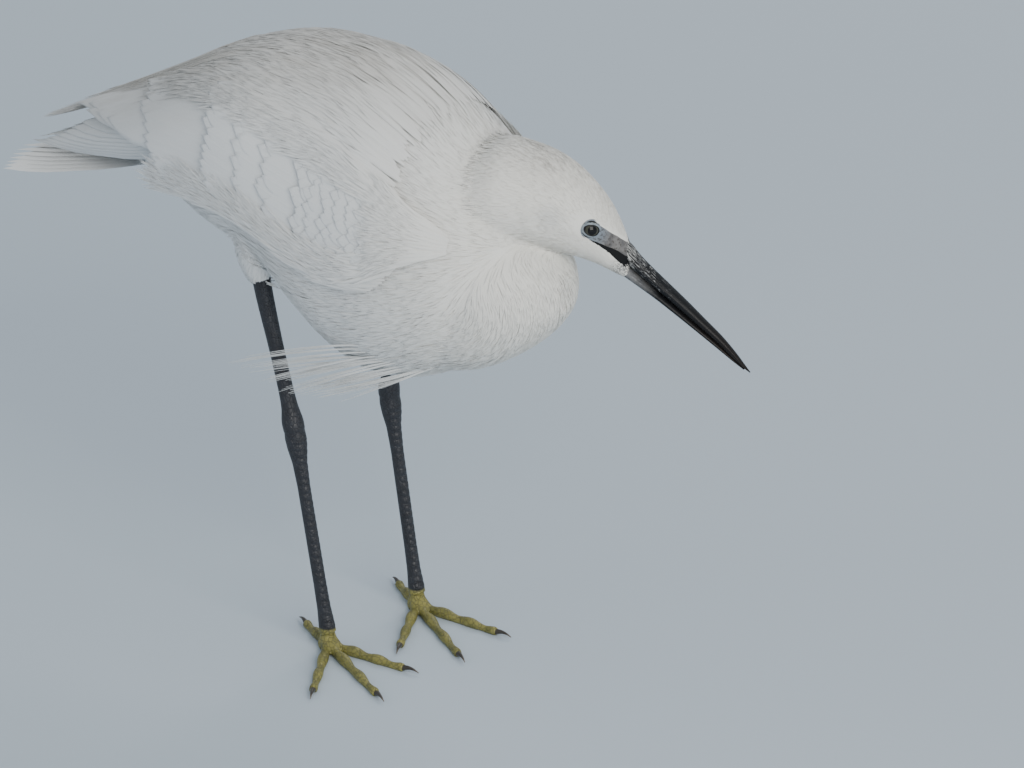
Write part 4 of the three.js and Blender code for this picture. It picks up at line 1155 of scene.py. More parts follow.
def wing_roots(side, tier, rng):
    """The roots of one tier of wing feathers."""
    start, tips, count, half, share, stand, _ = tier
    down = np.linspace(0, 1, count)
    across = share[0] + (share[1] - share[0]) * down
    root_x = start + rng.uniform(-1.5, 1.5, count)
    tip_x = tips[0] + (tips[1] - tips[0]) * down + rng.uniform(-3, 3, count)
    t, angle = wing_spot(root_x, across, side)
    roots = CLOAK.lifted(t, angle, 0)
    up = CLOAK.normal(t, angle)
    t, angle = wing_spot(tip_x, across + rng.uniform(-0.012, 0.012, count), side)
    way = CLOAK.lifted(t, angle, 0) - roots
    length = np.linalg.norm(way, axis=1)
    shrink = 1 - 0.25 * (share[1] < 0.9) * down
    return {
        "root": roots, "way": unit(way), "up": up, "length": length, "width": 2 * half * shrink,
        "sunk": -2.6, "stand": stand + rng.uniform(-0.15, 0.15, count),
        "bend": side * 0.02 + rng.normal(0, 0.01, count),
        "tilt": -side * (0.025 + rng.uniform(-0.008, 0.008, count)),
        "tone": rng.random(count),
    }


def merged(list_of_roots):
    """Several sets of roots as one."""
    keys = list_of_roots[0].keys()
    total = {}
    for key in keys:
        total[key] = np.concatenate(
            [np.broadcast_to(r[key], (len(r["root"]), *np.shape(r[key])[1:])) for r in list_of_roots]
        )
    return total


def surface_of(form, name, steps=160, around=120):
    """A form's surface that feathers are laid on, not shown."""
    piece = new_object(name, *loft(form.grid(steps, around)))
    set_values(piece.data, "skin_normal", vertex_normals(piece.data), "FLOAT_VECTOR")
    piece.hide_render = True
    return piece


# Soft feathers over the wing's edges: ahead, across, length, drop across the wing, stand, how many
WING_SILK = [
    ((-80, 50), (-0.2, 0.04), (26, 44), (0.1, 0.3), (0.9, 2.0), 1500),
    ((46, 64), (-0.1, 1.02), (15, 24), (-0.03, 0.06), (0.6, 1.5), 900),
    ((-74, 44), (1.03, 1.26), (20, 32), (-0.2, -0.02), (1.0, 2.0), 1300),
]


def silk_roots(side, band, rng):
    """The roots of one band of the long soft feathers that lie over an edge of the wing."""
    ahead, across, length, drop, stand, count = band
    x = rng.uniform(*ahead, count)
    spot = rng.uniform(*across, count)
    reach = rng.uniform(*length, count)
    t, angle = wing_spot(x, spot, side)
    root, up = CLOAK.lifted(t, angle, 0), CLOAK.normal(t, angle)
    t, angle = wing_spot(x - reach, spot + rng.uniform(*drop, count), side)
    way = CLOAK.lifted(t, angle, 0) - root
    return {
        "root": root, "way": unit(way), "up": up, "length": np.linalg.norm(way, axis=1),
        "width": rng.uniform(1.5, 2.2, count), "sunk": -3.2, "stand": rng.uniform(*stand, count),
        "bend": rng.normal(0, 0.03, count), "tilt": rng.normal(0, 0.05, count), "tone": rng.random(count),
    }


def mantle_roots(rng, count):
    """The roots of the long soft feathers that cover the back between the wings."""
    x = rng.uniform(-152, 40, count)
    wide = np.radians(wing_line(x)[0]) + 0.06
    share = rng.uniform(-1, 1, count)
    root = CLOAK.lifted(CLOAK.station_at(x), share * wide, 0)
    up = CLOAK.normal(CLOAK.station_at(x), share * wide)
    far = x - rng.uniform(24, 40, count)
    turn = share * np.minimum(wide, np.radians(wing_line(far)[0]) + 0.1) + rng.normal(0, 0.02, count)
    way = CLOAK.lifted(CLOAK.station_at(far), turn, 0) - root
    return {
        "root": root, "way": unit(way), "up": up, "length": np.linalg.norm(way, axis=1),
        "width": rng.uniform(1.7, 2.5, count), "sunk": -2.0,
        "stand": np.interp(x, [-60, 40], [0.7, 0.15]) + rng.uniform(-0.25, 0.25, count),
        "bend": rng.normal(0, 0.03, count), "tilt": rng.normal(0, 0.05, count), "tone": rng.random(count),
    }


def make_wings():
    """The folded wings: coverts, secondaries and tertials in tiers, and the flight feathers under them."""
    cloak = surface_of(CLOAK, "cloak_surface")
    round_outline = [(0, 0.5), (0.15, 0.78), (0.4, 1), (0.7, 0.97), (0.88, 0.72), (0.97, 0.35), (1, 0)]
    long_outline = [(0, 0.45), (0.12, 0.8), (0.35, 1), (0.7, 0.92), (0.88, 0.62), (0.97, 0.28), (1, 0)]
    covert = prototype("covert", 12, 6, round_outline, notch=0.05, seed=3)
    quill = prototype("quill", 20, 6, long_outline, notch=0.04, seed=4)
    silk = prototype("silk", 6, 2, [(0, 0.4), (0.2, 1), (0.5, 0.9), (0.8, 0.5), (1, 0)], under=False)
    down = feather_material("Egret down feather", False)
    white = feather_material("Egret vane", True)
    made = []
    for side, word in ((1, "left"), (-1, "right")):
        rng = np.random.default_rng(60 + side)
        short = merged([wing_roots(side, tier, rng) for tier in WING_TIERS if tier[6] == 0])
        name = f"wing_coverts_{word}"
        made.append(lay_feathers(name, short, covert, cloak, white, 0.12, camber=0.04, soft=0.75))
        long = merged([wing_roots(side, tier, rng) for tier in WING_TIERS if tier[6] == 1])
        name = f"wing_quills_{word}"
        made.append(lay_feathers(name, long, quill, cloak, white, 0.2, camber=0.04, soft=0.55))
        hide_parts(f"wing_{word}")
        count = 9
        share = np.linspace(0, 1, count)
        t, angle = wing_spot(np.full(count, -88.0), 0.5 + 0.36 * share, side)
        root, up = CLOAK.lifted(t, angle, 0), CLOAK.normal(t, angle)
        t, angle = wing_spot(-150 - 49 * share**0.8, 0.36 + 0.5 * share, side)
        way = CLOAK.lifted(t, angle, 0) - root
        depth = -3.0 - 0.55 * np.arange(count)
        roots = {
            "root": root, "way": unit(way), "up": up, "length": np.linalg.norm(way, axis=1), "width": 13.0,
            "sunk": depth, "stand": depth, "bend": side * 0.01 + 0 * share, "tilt": 0 * share,
            "tone": rng.random(count),
        }
        name = f"wing_primaries_{word}"
        made.append(lay_feathers(name, roots, quill, cloak, white, 0.25, camber=0.03, soft=0.4))
        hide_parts(f"primaries_{word}")
        roots = merged([silk_roots(side, band, rng) for band in WING_SILK])
        made.append(lay_feathers(f"wing_silk_{word}", roots, silk, cloak, down, 0.12))
    made.append(lay_feathers("mantle", mantle_roots(np.random.default_rng(8), 5600), silk, cloak, down, 0.08))
    return made


def tail_top(x):
    return 201.6 + 0.25 * (x + 155)


def make_tail():
    """Twelve tail feathers folded over one another, with their coverts."""
    quill = bpy.data.objects["quill"]
    rng = np.random.default_rng(9)
    spreads = np.array([2.2, 6.6, 10.2, 13.6, 16.6, 19.2])
    root, tip, up, width = [], [], [], []
    for pair, spread_to in enumerate(spreads):
        for side in (1, -1):
            level = 0 if pair == 0 and side > 0 else pair + 1
            root.append((-122, side * spread_to * 0.55, tail_top(-122) - 0.75 * level))
            x = -205 + 1.1 * pair
            tip.append((x, side * spread_to, tail_top(x) - 0.75 * level))
            up.append((0.25, side * 0.04 * pair, 1))
            width.append(14.0)
    for k in range(8):
        y = (k - 3.5) * 3.0
        root.append((-112, y * 0.7, tail_top(-112) + 2.2))
        tip.append((-163 + 2.2 * abs(k - 3.5) + rng.uniform(-3, 3), y, tail_top(-163) + 1.0 + 0.2 * (k % 2)))
        up.append((0.25, y * 0.02, 1))
        width.append(8.0)
        root.append((-110, y * 0.7, tail_top(-110) - 4.2))
        tip.append((-158 + 2.2 * abs(k - 3.5) + rng.uniform(-3, 3), y, tail_top(-158) - 6.2 - 0.2 * (k % 2)))
        up.append((0.25, y * 0.02, 1))
        width.append(8.0)
    root, tip, up = (np.array(v, float) for v in (root, tip, up))
    count = len(root)
    roots = {
        "root": root, "way": unit(tip - root), "up": unit(up), "length": np.linalg.norm(tip - root, axis=1),
        "width": np.array(width), "sunk": 0 * up[:, 0], "stand": 0 * up[:, 0], "bend": 0 * up[:, 0],
        "tilt": 0 * up[:, 0], "tone": rng.random(count),
    }
    white = feather_material("Egret vane", True)
    cloak = bpy.data.objects["cloak_surface"]
    tail = lay_feathers("tail_feathers", roots, quill, cloak, white, 0.3, cling=0.0)
    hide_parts("tail")
    return [tail]


# Long plumes
def plume_tree():
    """Geometry nodes that sweep fine tapering strands along stored lines."""
    tree = bpy.data.node_groups.get("Plume strands")
    if tree:
        return tree
    tree = bpy.data.node_groups.new("Plume strands", "GeometryNodeTree")
    tree.interface.new_socket(name="Lines", in_out="INPUT", socket_type="NodeSocketGeometry")
    tree.interface.new_socket(name="Sides", in_out="INPUT", socket_type="NodeSocketInt")
    tree.interface.new_socket(name="Material", in_out="INPUT", socket_type="NodeSocketMaterial")
    tree.interface.new_socket(name="Strands", in_out="OUTPUT", socket_type="NodeSocketGeometry")
    nodes = Nodes(tree)
    into, out = nodes.add("NodeGroupInput"), nodes.add("NodeGroupOutput")
    stored = nodes.add("GeometryNodeInputNamedAttribute", {"Name": "thick"}, data_type="FLOAT")
    thick = stored.outputs["Attribute"]
    curve = nodes.add("GeometryNodeMeshToCurve", {"Mesh": into.outputs["Lines"]})
    ring = nodes.add("GeometryNodeCurvePrimitiveCircle", {"Resolution": into.outputs["Sides"], "Radius": 1.0})
    swept = nodes.add(
        "GeometryNodeCurveToMesh",
        {"Curve": curve.outputs[0], "Profile Curve": ring.outputs[0], "Scale": thick, "Fill Caps": True},
    )
    root = nodes.add("GeometryNodeInputNamedAttribute", {"Name": "root_uv"}, data_type="FLOAT_VECTOR")
    stored = nodes.add("GeometryNodeInputNamedAttribute", {"Name": "along"}, data_type="FLOAT")
    along = stored.outputs["Attribute"]
    patch_x = nodes.math("MULTIPLY", nodes.math("SUBTRACT", along, 0.5), 0.003)
    step = nodes.add("ShaderNodeCombineXYZ", {0: patch_x})
    spot = nodes.vector("ADD", root.outputs["Attribute"], step.outputs[0])
    mapped = nodes.add(
        "GeometryNodeStoreNamedAttribute",
        {"Geometry": swept.outputs[0], "Name": "OFBake", "Value": spot},
        data_type="FLOAT2",
        domain="CORNER",
    )
    tidy = nodes.add("GeometryNodeRemoveAttribute", {"Geometry": mapped.outputs[0], "Name": "root_uv"})
    smooth = nodes.add("GeometryNodeSetShadeSmooth", {"Geometry": tidy.outputs[0]})
    real = nodes.add("GeometryNodeRealizeInstances", {"Geometry": smooth.outputs[0]})
    finish = {"Geometry": real.outputs[0], "Material": into.outputs["Material"]}
    painted = nodes.add("GeometryNodeSetMaterial", finish)
    nodes.link(painted.outputs[0], out.inputs[0])
    return tree


def sweep_strands(name, lines, thick, material, sides=4):
    """One piece of strands from lines of equal count and a thickness for each point."""
    lines, thick = np.asarray(lines, float), np.asarray(thick, float)
    count, steps = lines.shape[:2]
    mesh = bpy.data.meshes.new(name)
    edges = [(k * steps + i, k * steps + i + 1) for k in range(count) for i in range(steps - 1)]
    mesh.from_pydata(metres(lines.reshape(-1, 3)).tolist(), edges, [])
    along = np.tile(np.linspace(0, 1, steps), count)
    rng = np.random.default_rng(count)
    set_values(mesh, "thick", thick.ravel() / 1000)
    set_values(mesh, "along", along)
    set_values(mesh, "across", 0 * along + 0.5)
    set_values(mesh, "tone", np.repeat(rng.random(count), steps))
    uv = skin_uv_at({"root": lines[:, 0]})
    set_values(mesh, "root_uv", np.repeat(uv, steps, axis=0), "FLOAT_VECTOR")
    piece = bpy.data.objects.new(name, mesh)
    bpy.context.scene.collection.objects.link(piece)
    modifier = piece.modifiers.new("Plume strands", "NODES")
    modifier.node_group = plume_tree()
    for item in modifier.node_group.interface.items_tree:
        if item.item_type == "SOCKET" and item.in_out == "INPUT" and item.name in ("Sides", "Material"):
            modifier[item.identifier] = sides if item.name == "Sides" else material
    graph = bpy.context.evaluated_depsgraph_get()
    made = bpy.data.meshes.new_from_object(piece.evaluated_get(graph), depsgraph=graph)
    piece.modifiers.clear()
    piece.data = made
    return finished(piece, name)


def bezier(points, steps):
    s = np.linspace(0, 1, steps)[:, None]
    a, b, c = (np.asarray(p, float) for p in points)
    return (1 - s) ** 2 * a + 2 * s * (1 - s) * b + s**2 * c


def plume(spine, rng, barbs, fan, thick):
    """A plume as a stem with finer strands that leave it and run on beside it."""
    steps = len(spine)
    s = np.linspace(0, 1, steps)
    lines, widths = [spine], [thick * (1 - 0.85 * s)]
    run = unit(np.gradient(spine, axis=0))
    guide = np.array([0, 1.0, 0.3])
    side = unit(np.cross(run, guide))
    other = np.cross(run, side)
    for _ in range(barbs):
        turn = rng.uniform(0, 2 * np.pi)
        reach = rng.uniform(0.55, 1.0)
        out = fan * rng.uniform(0.3, 1) * (s * reach) ** 1.3
        moved = np.stack([np.interp(s * reach, s, spine[:, k]) for k in range(3)], axis=1)
        beside, above = (out * math.cos(turn))[:, None], (out * math.sin(turn) * 0.5)[:, None]
        lines.append(moved + side * beside + other * above)
        widths.append(0.5 * thick * (1 - 0.8 * s))
    return lines, widths


def make_plumes():
    """The long fine plumes of the lower breast and of the back."""
    white = feather_material("Egret plume", False)
    rng = np.random.default_rng(77)
    lines, widths = [], []
    sides = [(-1, 22, (-50, -6), (45, 33), (137, 124)), (1, 12, (-40, -4), (47, 38), (139, 126))]
    for side, count, end_x, end_y, end_z in sides:
        for k in range(count):
            share = k / (count - 1)
            root_x = 24 + 30 * share + rng.uniform(-3, 3)
            angle = side * math.radians(129 + 23 * share + rng.uniform(-4, 4))
            root = TORSO.lifted(TORSO.station_at(root_x), angle, -2.0)
            leave = TORSO.lifted(TORSO.station_at(root_x - 22), angle, 1.5)
            tip = (
                end_x[0] + (end_x[1] - end_x[0]) * share + rng.uniform(-6, 6),
                side * (end_y[0] + (end_y[1] - end_y[0]) * share + rng.uniform(-2, 2)),
                end_z[0] + (end_z[1] - end_z[0]) * share**0.7 + rng.uniform(-4, 4),
            )
            more, wide = plume(bezier((root, leave, tip), 16), rng, 12, 1.6, 0.46)
            lines += more
            widths += wide
    breast = sweep_strands("breast_plumes", lines, widths, white)
    rng = np.random.default_rng(5)
    lines, widths = [], []
    for k in range(15):
        sideways = 2 * k / 14 - 1
        start = -46 + 12 * abs(sideways) + rng.uniform(-5, 5)
        end = -180 + 28 * abs(sideways) + rng.uniform(-7, 7)
        s = np.linspace(0, 1, 20)
        x = start + (end - start) * s
        angle = np.radians(sideways * (22 - 3 * s) + 2 * np.sin(5 * s + k))
        lift = -4 + 4.9 * np.minimum(1, s * 3.2) + 0.3 * math.sin(3 * k) * s
        spine = CLOAK.lifted(CLOAK.station_at(x), angle, lift)
        more, wide = plume(spine, rng, 8, 1.6, 0.34)
        lines += more
        widths += wide
    back = sweep_strands("back_plumes", lines, widths, white)
    return [breast, back]


# Eyes and lids
def turned(points, normal, centre):
    """Points of the eye's own axes, ahead, up and out, set in place with the front corner a little low."""
    ahead = unit(HEAD.ahead - np.array([0, 0, 0.22]))
    ahead = unit(ahead - normal * (ahead @ normal))
    above = np.cross(normal, ahead)
    above = above * np.sign(above[2])
    return points[:, :1] * ahead + points[:, 1:2] * above + points[:, 2:] * normal + centre


def eye_material():
    """The eye: black pupil, dull grey green iris with fine rays and a dark rim, under a clear wet coat."""
    wet = {"coat_weight": 0.5, "coat_roughness": 0.02}
    made = new_material("Egret eye", roughness=0.5, specular_ior_level=0.05, **wet)
    nodes = Nodes(made.node_tree)
    ring = nodes.add("ShaderNodeAttribute", attribute_name="ring").outputs["Fac"]
    turn = nodes.add("ShaderNodeAttribute", attribute_name="turn").outputs["Fac"]
    spokes, depth = nodes.math("MULTIPLY", turn, 26.0), nodes.math("MULTIPLY", ring, 1.4)
    joined = nodes.add("ShaderNodeCombineXYZ", {0: spokes, 1: depth})
    rays = nodes.noise(joined.outputs[0], 1.0, 3.0)
    iris = nodes.mix(rays, (0.022, 0.024, 0.02, 1), (0.08, 0.08, 0.06, 1))
    rim = nodes.smooth(ring, 2.75, 3.2)
    iris = nodes.mix(rim, iris, (0.012, 0.012, 0.014, 1))
    pupil = nodes.smooth(ring, 2.0, 2.15, 1.0, 0.0)
    color = nodes.mix(pupil, iris, (0.004, 0.004, 0.005, 1))
    nodes.link(color, made.node_tree.nodes["Principled BSDF"].inputs["Base Color"])
    return made


def lid_material():
    """Bare ring round the eye: pale blue grey, finely wrinkled, with a dark inner edge."""
    made = new_material("Egret eyelid", roughness=0.5, specular_ior_level=0.4)
    nodes = Nodes(made.node_tree)
    shader = made.node_tree.nodes["Principled BSDF"]
    edge = nodes.add("ShaderNodeAttribute", attribute_name="ring").outputs["Fac"]
    grain = nodes.add("ShaderNodeGroup", node_tree=grain_group())
    grain.inputs["Scale"].default_value = 1300.0
    mottle = nodes.smooth(grain.outputs["Mottle"], 0.35, 0.65)
    pale = nodes.mix(mottle, (0.2, 0.24, 0.28, 1), (0.34, 0.39, 0.43, 1))
    dark = nodes.smooth(edge, 0.36, 0.5, 1.0, 0.0)
    nodes.link(nodes.mix(dark, pale, (0.012, 0.012, 0.015, 1)), shader.inputs["Base Color"])
    inputs = {"Height": grain.outputs["Fine"], "Strength": 0.4, "Distance": 0.0002}
    nodes.link(nodes.add("ShaderNodeBump", inputs).outputs[0], shader.inputs["Normal"])
    return made


def make_eyes():
    """Eyeballs with a raised cornea, and the lids round them."""
    look, skin = eye_material(), lid_material()
    made = []
    for side, word in ((1, "left"), (-1, "right")):
        centre, normal = eye_place(side)
        rings = []
        for polar in np.linspace(0.001, np.pi - 0.001, 40):
            cornea = 0.21 * math.exp(-((polar / 0.5) ** 2))
            radius = EYE_RADIUS - 0.02 + cornea - 0.45 * min(1, max(0, (polar - 0.76) / 0.25))
            turn = np.arange(48) / 48 * 2 * np.pi
            flat = np.sin(polar)
            ring = np.stack([flat * np.cos(turn), flat * np.sin(turn), np.cos(polar) + 0 * turn], 1)
            rings.append(ring * radius)
        points, faces = loft(np.array(rings))
        ring = np.hypot(points[:, 0], points[:, 1]) + 9 * (points[:, 2] < 0)
        turn = (np.arctan2(points[:, 1], points[:, 0]) / (2 * np.pi)) % 1
        points = turned(points, normal, centre)
        piece = new_object(f"eyeball_{word}", points, orient(points, faces), look)
        set_values(piece.data, "ring", ring)
        set_values(piece.data, "turn", np.abs(turn * 2 - 1))
        made.append(finished(piece, f"eyeball_{word}", [f"eye_{word}"]))
        # share of the way from the opening to the outer edge, and height over the ball's own curve
        profile = [(0, 0.04), (0.06, 0.2), (0.22, 0.34), (0.45, 0.42), (0.68, 0.46), (0.86, 0.36), (1, -0.1),
                   (1, -1.6), (0.5, -1.4), (0, -0.9)]
        turn = np.arange(72) / 72 * 2 * np.pi
        rows = []
        for angle in turn:
            c, d = math.cos(angle), math.sin(angle)
            inner = 1 / math.hypot(c / 3.4, d / 2.15) * (1 + 0.008 * math.sin(9 * angle))
            outer = 1 / math.hypot(c / 4.35, d / 3.25) * (1 + 0.012 * math.sin(11 * angle + 1))
            row = []
            for share, lift in profile:
                reach = inner + (outer - inner) * share
                row.append((reach * c, reach * d, math.sqrt(EYE_RADIUS**2 - reach**2) + lift))
            rows.append(row)
        rows = np.array(rows)
        around = len(profile)
        faces = []
        for i in range(72):
            for j in range(around):
                a, b = i * around + j, i * around + (j + 1) % around
                c, d = ((i + 1) % 72) * around + j, ((i + 1) % 72) * around + (j + 1) % around
                faces.append((a, c, d, b))
        points = rows.reshape(-1, 3)
        points = turned(points, normal, centre)
        lid = new_object(f"eyelids_{word}", points, orient(points, faces), skin)
        set_values(lid.data, "ring", np.tile([share for share, _ in profile], 72))
        made.append(finished(lid, f"eyelids_{word}"))
    return made


# Bill
def bill_material():
    """Black horn, glossy to the tip, with grey flaky mottling over its base and edges."""
    settings = bpy.context.scene.egret
    made = new_material("Egret bill", specular_ior_level=0.22)
    nodes = Nodes(made.node_tree)
    shader = made.node_tree.nodes["Principled BSDF"]
    grain = nodes.add("ShaderNodeGroup", node_tree=grain_group())
    grain.inputs["Scale"].default_value = 520.0
    grain.inputs["Stretch"].default_value = (1.0, 1.0, 1.0)
    along = nodes.add("ShaderNodeAttribute", attribute_name="along").outputs["Fac"]
    turn = nodes.add("ShaderNodeAttribute", attribute_name="across").outputs["Fac"]
    drawn, round_it = nodes.math("MULTIPLY", along, 15.0), nodes.math("MULTIPLY", turn, 9.0)
    joined = nodes.add("ShaderNodeCombineXYZ", {0: drawn, 1: round_it})
    flakes = nodes.noise(joined.outputs[0], 1.5, 5.0, 0.7)
    level = nodes.smooth(along, 0.05, 0.68, 0.475, 0.69)
    pale = nodes.math("MULTIPLY_ADD", nodes.math("SUBTRACT", flakes, level), 14.0, 0.0, clamp=True)
    pale = nodes.math("MULTIPLY", pale, nodes.smooth(along, 0.3, 0.7, 0.9, 0.2))
    under = nodes.add("ShaderNodeAttribute", attribute_name="base").outputs["Fac"]
    worn_base = nodes.math("MULTIPLY", under, nodes.smooth(flakes, 0.3, 0.5, 0.25, 0.9))
    pale = nodes.math("MAXIMUM", pale, worn_base)
    horn = nodes.mix(nodes.smooth(along, 0.35, 0.95), (*settings.bill, 1), (0.013, 0.01, 0.009, 1))
    mottle = nodes.smooth(grain.outputs["Mottle"], 0.3, 0.7)
    grey = nodes.mix(mottle, (0.2, 0.21, 0.23, 1), (0.52, 0.52, 0.51, 1))
    nodes.link(nodes.mix(pale, horn, grey), shader.inputs["Base Color"])
    rough = nodes.math("MULTIPLY_ADD", pale, 0.3, nodes.smooth(along, 0.1, 0.8, 0.5, 0.36))
    nodes.link(rough, shader.inputs["Roughness"])
    coarse, fine = nodes.math("MULTIPLY", flakes, 0.8), nodes.math("MULTIPLY", grain.outputs["Fine"], 0.4)
    height = nodes.math("ADD", coarse, fine)
    inputs = {"Height": height, "Strength": 0.35, "Distance": 0.0003}
    nodes.link(nodes.add("ShaderNodeBump", inputs).outputs[0], shader.inputs["Normal"])
    return made


def make_bill():
    """Upper and lower bill, with the groove and slit of the nostril and the cutting edges."""
    look = bill_material()
    made = []
    for form, word in ((UPPER_BILL, "upper"), (LOWER_BILL, "lower")):
        t = np.linspace(0, 1, 121)[:, None]
        angle = ((np.arange(56) + 0.5) / 56 * 2 * np.pi)[None, :]
        points = form.point(t, angle)
        out = form.normal(t, angle)
        side = np.abs(np.sin(angle))
        if word == "upper":
            place_on = np.degrees(np.abs((angle + np.pi) % (2 * np.pi) - np.pi))
            depth = np.interp(t, [0.1, 0.16, 0.3, 0.55], [0, 1, 0.7, 0])
            groove = np.exp(-(((place_on - 58) / 13) ** 2)) * depth
            slit = np.exp(-(((place_on - 58) / 5) ** 2)) * np.exp(-(((t - 0.235) / 0.028) ** 2))
            points = points - out * (0.34 * groove + 0.5 * slit)[..., None]
            edge = np.exp(-(((place_on - 112) / 8) ** 2)) * np.interp(t, [0.1, 0.2, 0.9, 1], [0, 1, 1, 0])
            points = points + out * (0.12 * edge)[..., None]
        else:
            keel = np.exp(-(((np.degrees(np.abs((angle + np.pi) % (2 * np.pi) - np.pi)) - 128) / 14) ** 2))
            depth = np.interp(t, [0.1, 0.25, 0.7, 0.9], [0, 1, 0.8, 0])
            points = points - out * (0.22 * keel * depth)[..., None]
        rows = points.shape[0]
        vertices, faces = loft(points)
        piece = new_object(f"bill_{word}", vertices, faces, look)
        along = np.concatenate([np.repeat(np.linspace(0, 1, rows), 56), [0, 1]])
        round_it = np.broadcast_to(side, (1, 56))[0] + (np.cos(angle[0]) < 0) * 1.5
        turn = np.concatenate([np.tile(round_it, rows), [0, 0]])
        set_values(piece.data, "along", along)
        set_values(piece.data, "across", turn)
        set_values(piece.data, "base", np.clip(1.5 - along / 0.3, 0, 1) * (word == "lower"))
        made.append(finished(piece, f"bill_{word}", [f"{word}_bill"]))
    return made


# Legs and claws
def leg_material():
    """Scaled skin: black on the leg with a blue sheen painted in as a bluish mottle, dull olive yellow on the
    toes.
    """
    settings = bpy.context.scene.egret
    made = new_material("Egret leg skin", specular_ior_level=0.45)
    nodes = Nodes(made.node_tree)
    shader = made.node_tree.nodes["Principled BSDF"]
    spot = nodes.add("ShaderNodeTexCoord").outputs["Object"]
    foot = nodes.add("ShaderNodeAttribute", attribute_name="foot").outputs["Fac"]
    cells = {"Vector": nodes.stretched(spot, (1, 1, 0.8)), "Scale": 520.0}
    scales = nodes.add("ShaderNodeTexVoronoi", cells, feature="DISTANCE_TO_EDGE")
    plate = nodes.smooth(scales.outputs["Distance"], 0.0, 0.12)
    rings = nodes.add("ShaderNodeAttribute", attribute_name="scute").outputs["Fac"]
    grain = nodes.add("ShaderNodeGroup", node_tree=grain_group())
    grain.inputs["Scale"].default_value = 900.0
    # The bluish mottle is a painted blue sheen on the black skin.
    black = nodes.mix(grain.outputs["Mottle"], (*settings.leg, 1), (0.035, 0.038, 0.048, 1))
    mottle = nodes.smooth(grain.outputs["Mottle"], 0.35, 0.65)
    yellow = nodes.mix(mottle, (*settings.foot, 1), (0.17, 0.165, 0.045, 1))
    creases = nodes.math("MULTIPLY", nodes.smooth(plate, 0.0, 0.7, 0.75, 0.0), 0.8)
    yellow = nodes.mix(creases, yellow, (0.06, 0.055, 0.03, 1))
    edge = nodes.math("MULTIPLY_ADD", nodes.math("SUBTRACT", grain.outputs["Mottle"], 0.5), 0.3, foot)
    color = nodes.mix(nodes.smooth(edge, 0.35, 0.65), black, yellow)
    nodes.link(color, shader.inputs["Base Color"])
    nodes.link(nodes.smooth(grain.outputs["Fine"], 0.3, 0.7, 0.4, 0.56), shader.inputs["Roughness"])
    height = nodes.math("ADD", nodes.math("MULTIPLY", plate, 0.6), nodes.math("MULTIPLY", rings, 0.9))
    height = nodes.math("MULTIPLY_ADD", grain.outputs["Fine"], 0.25, height)
    inputs = {"Height": height, "Strength": 0.8, "Distance": 0.0004}
    nodes.link(nodes.add("ShaderNodeBump", inputs).outputs[0], shader.inputs["Normal"])
    return made


def claw_material():
    """Dark horn of the claws, paler towards the tip."""
    made = new_material("Egret claw", roughness=0.34, specular_ior_level=0.5)
    nodes = Nodes(made.node_tree)
    along = nodes.add("ShaderNodeAttribute", attribute_name="along").outputs["Fac"]
    grain = nodes.add("ShaderNodeGroup", node_tree=grain_group())
    grain.inputs["Scale"].default_value = 700.0
    dark = nodes.mix(grain.outputs["Mottle"], (0.02, 0.017, 0.014, 1), (0.06, 0.05, 0.04, 1))
    color = nodes.mix(nodes.smooth(along, 0.6, 1.0), dark, (0.16, 0.13, 0.1, 1))
    shader = made.node_tree.nodes["Principled BSDF"]
    nodes.link(color, shader.inputs["Base Color"])
    inputs = {"Height": grain.outputs["Fine"], "Strength": 0.25, "Distance": 0.0002}
    nodes.link(nodes.add("ShaderNodeBump", inputs).outputs[0], shader.inputs["Normal"])
    return made


def toe_way(leg, angle):
    turn = math.radians(leg["heading"] - leg["side"] * angle)
    return np.array([math.cos(turn), math.sin(turn), 0])


def toe_rings(leg, angle, length):
    """A toe: tapering, swollen at its joints with a pad under each, flat below."""
    s = np.linspace(0, 1, 64)
    joints = 2 if angle == 180 else 3
    thick = 2.5 + (1.75 - 2.5) * s + 0.3 * np.cos(s * joints * 2 * np.pi) * np.where(s < 0.97, 1, 0.2)
    rise = 3.0 * np.clip(1 - s / 0.14, 0, 1) ** 1.5
    path = np.array([*leg["ankle"][:2], 0]) + (1 + s * (length - 0.6))[:, None] * toe_way(leg, angle)
    path[:, 2] = thick - 0.55 + rise
    rings = tube(path, thick, 24, guide=(0, 0, 1))
    scute = 0.12 * np.abs(np.sin(s * length / 2.1 * np.pi))
    rings[..., 2] += (scute[:, None]) * (rings[..., 2] > path[:, None, 2] + 1)
    rings[..., 2] = np.maximum(rings[..., 2], 0.0)
    return rings


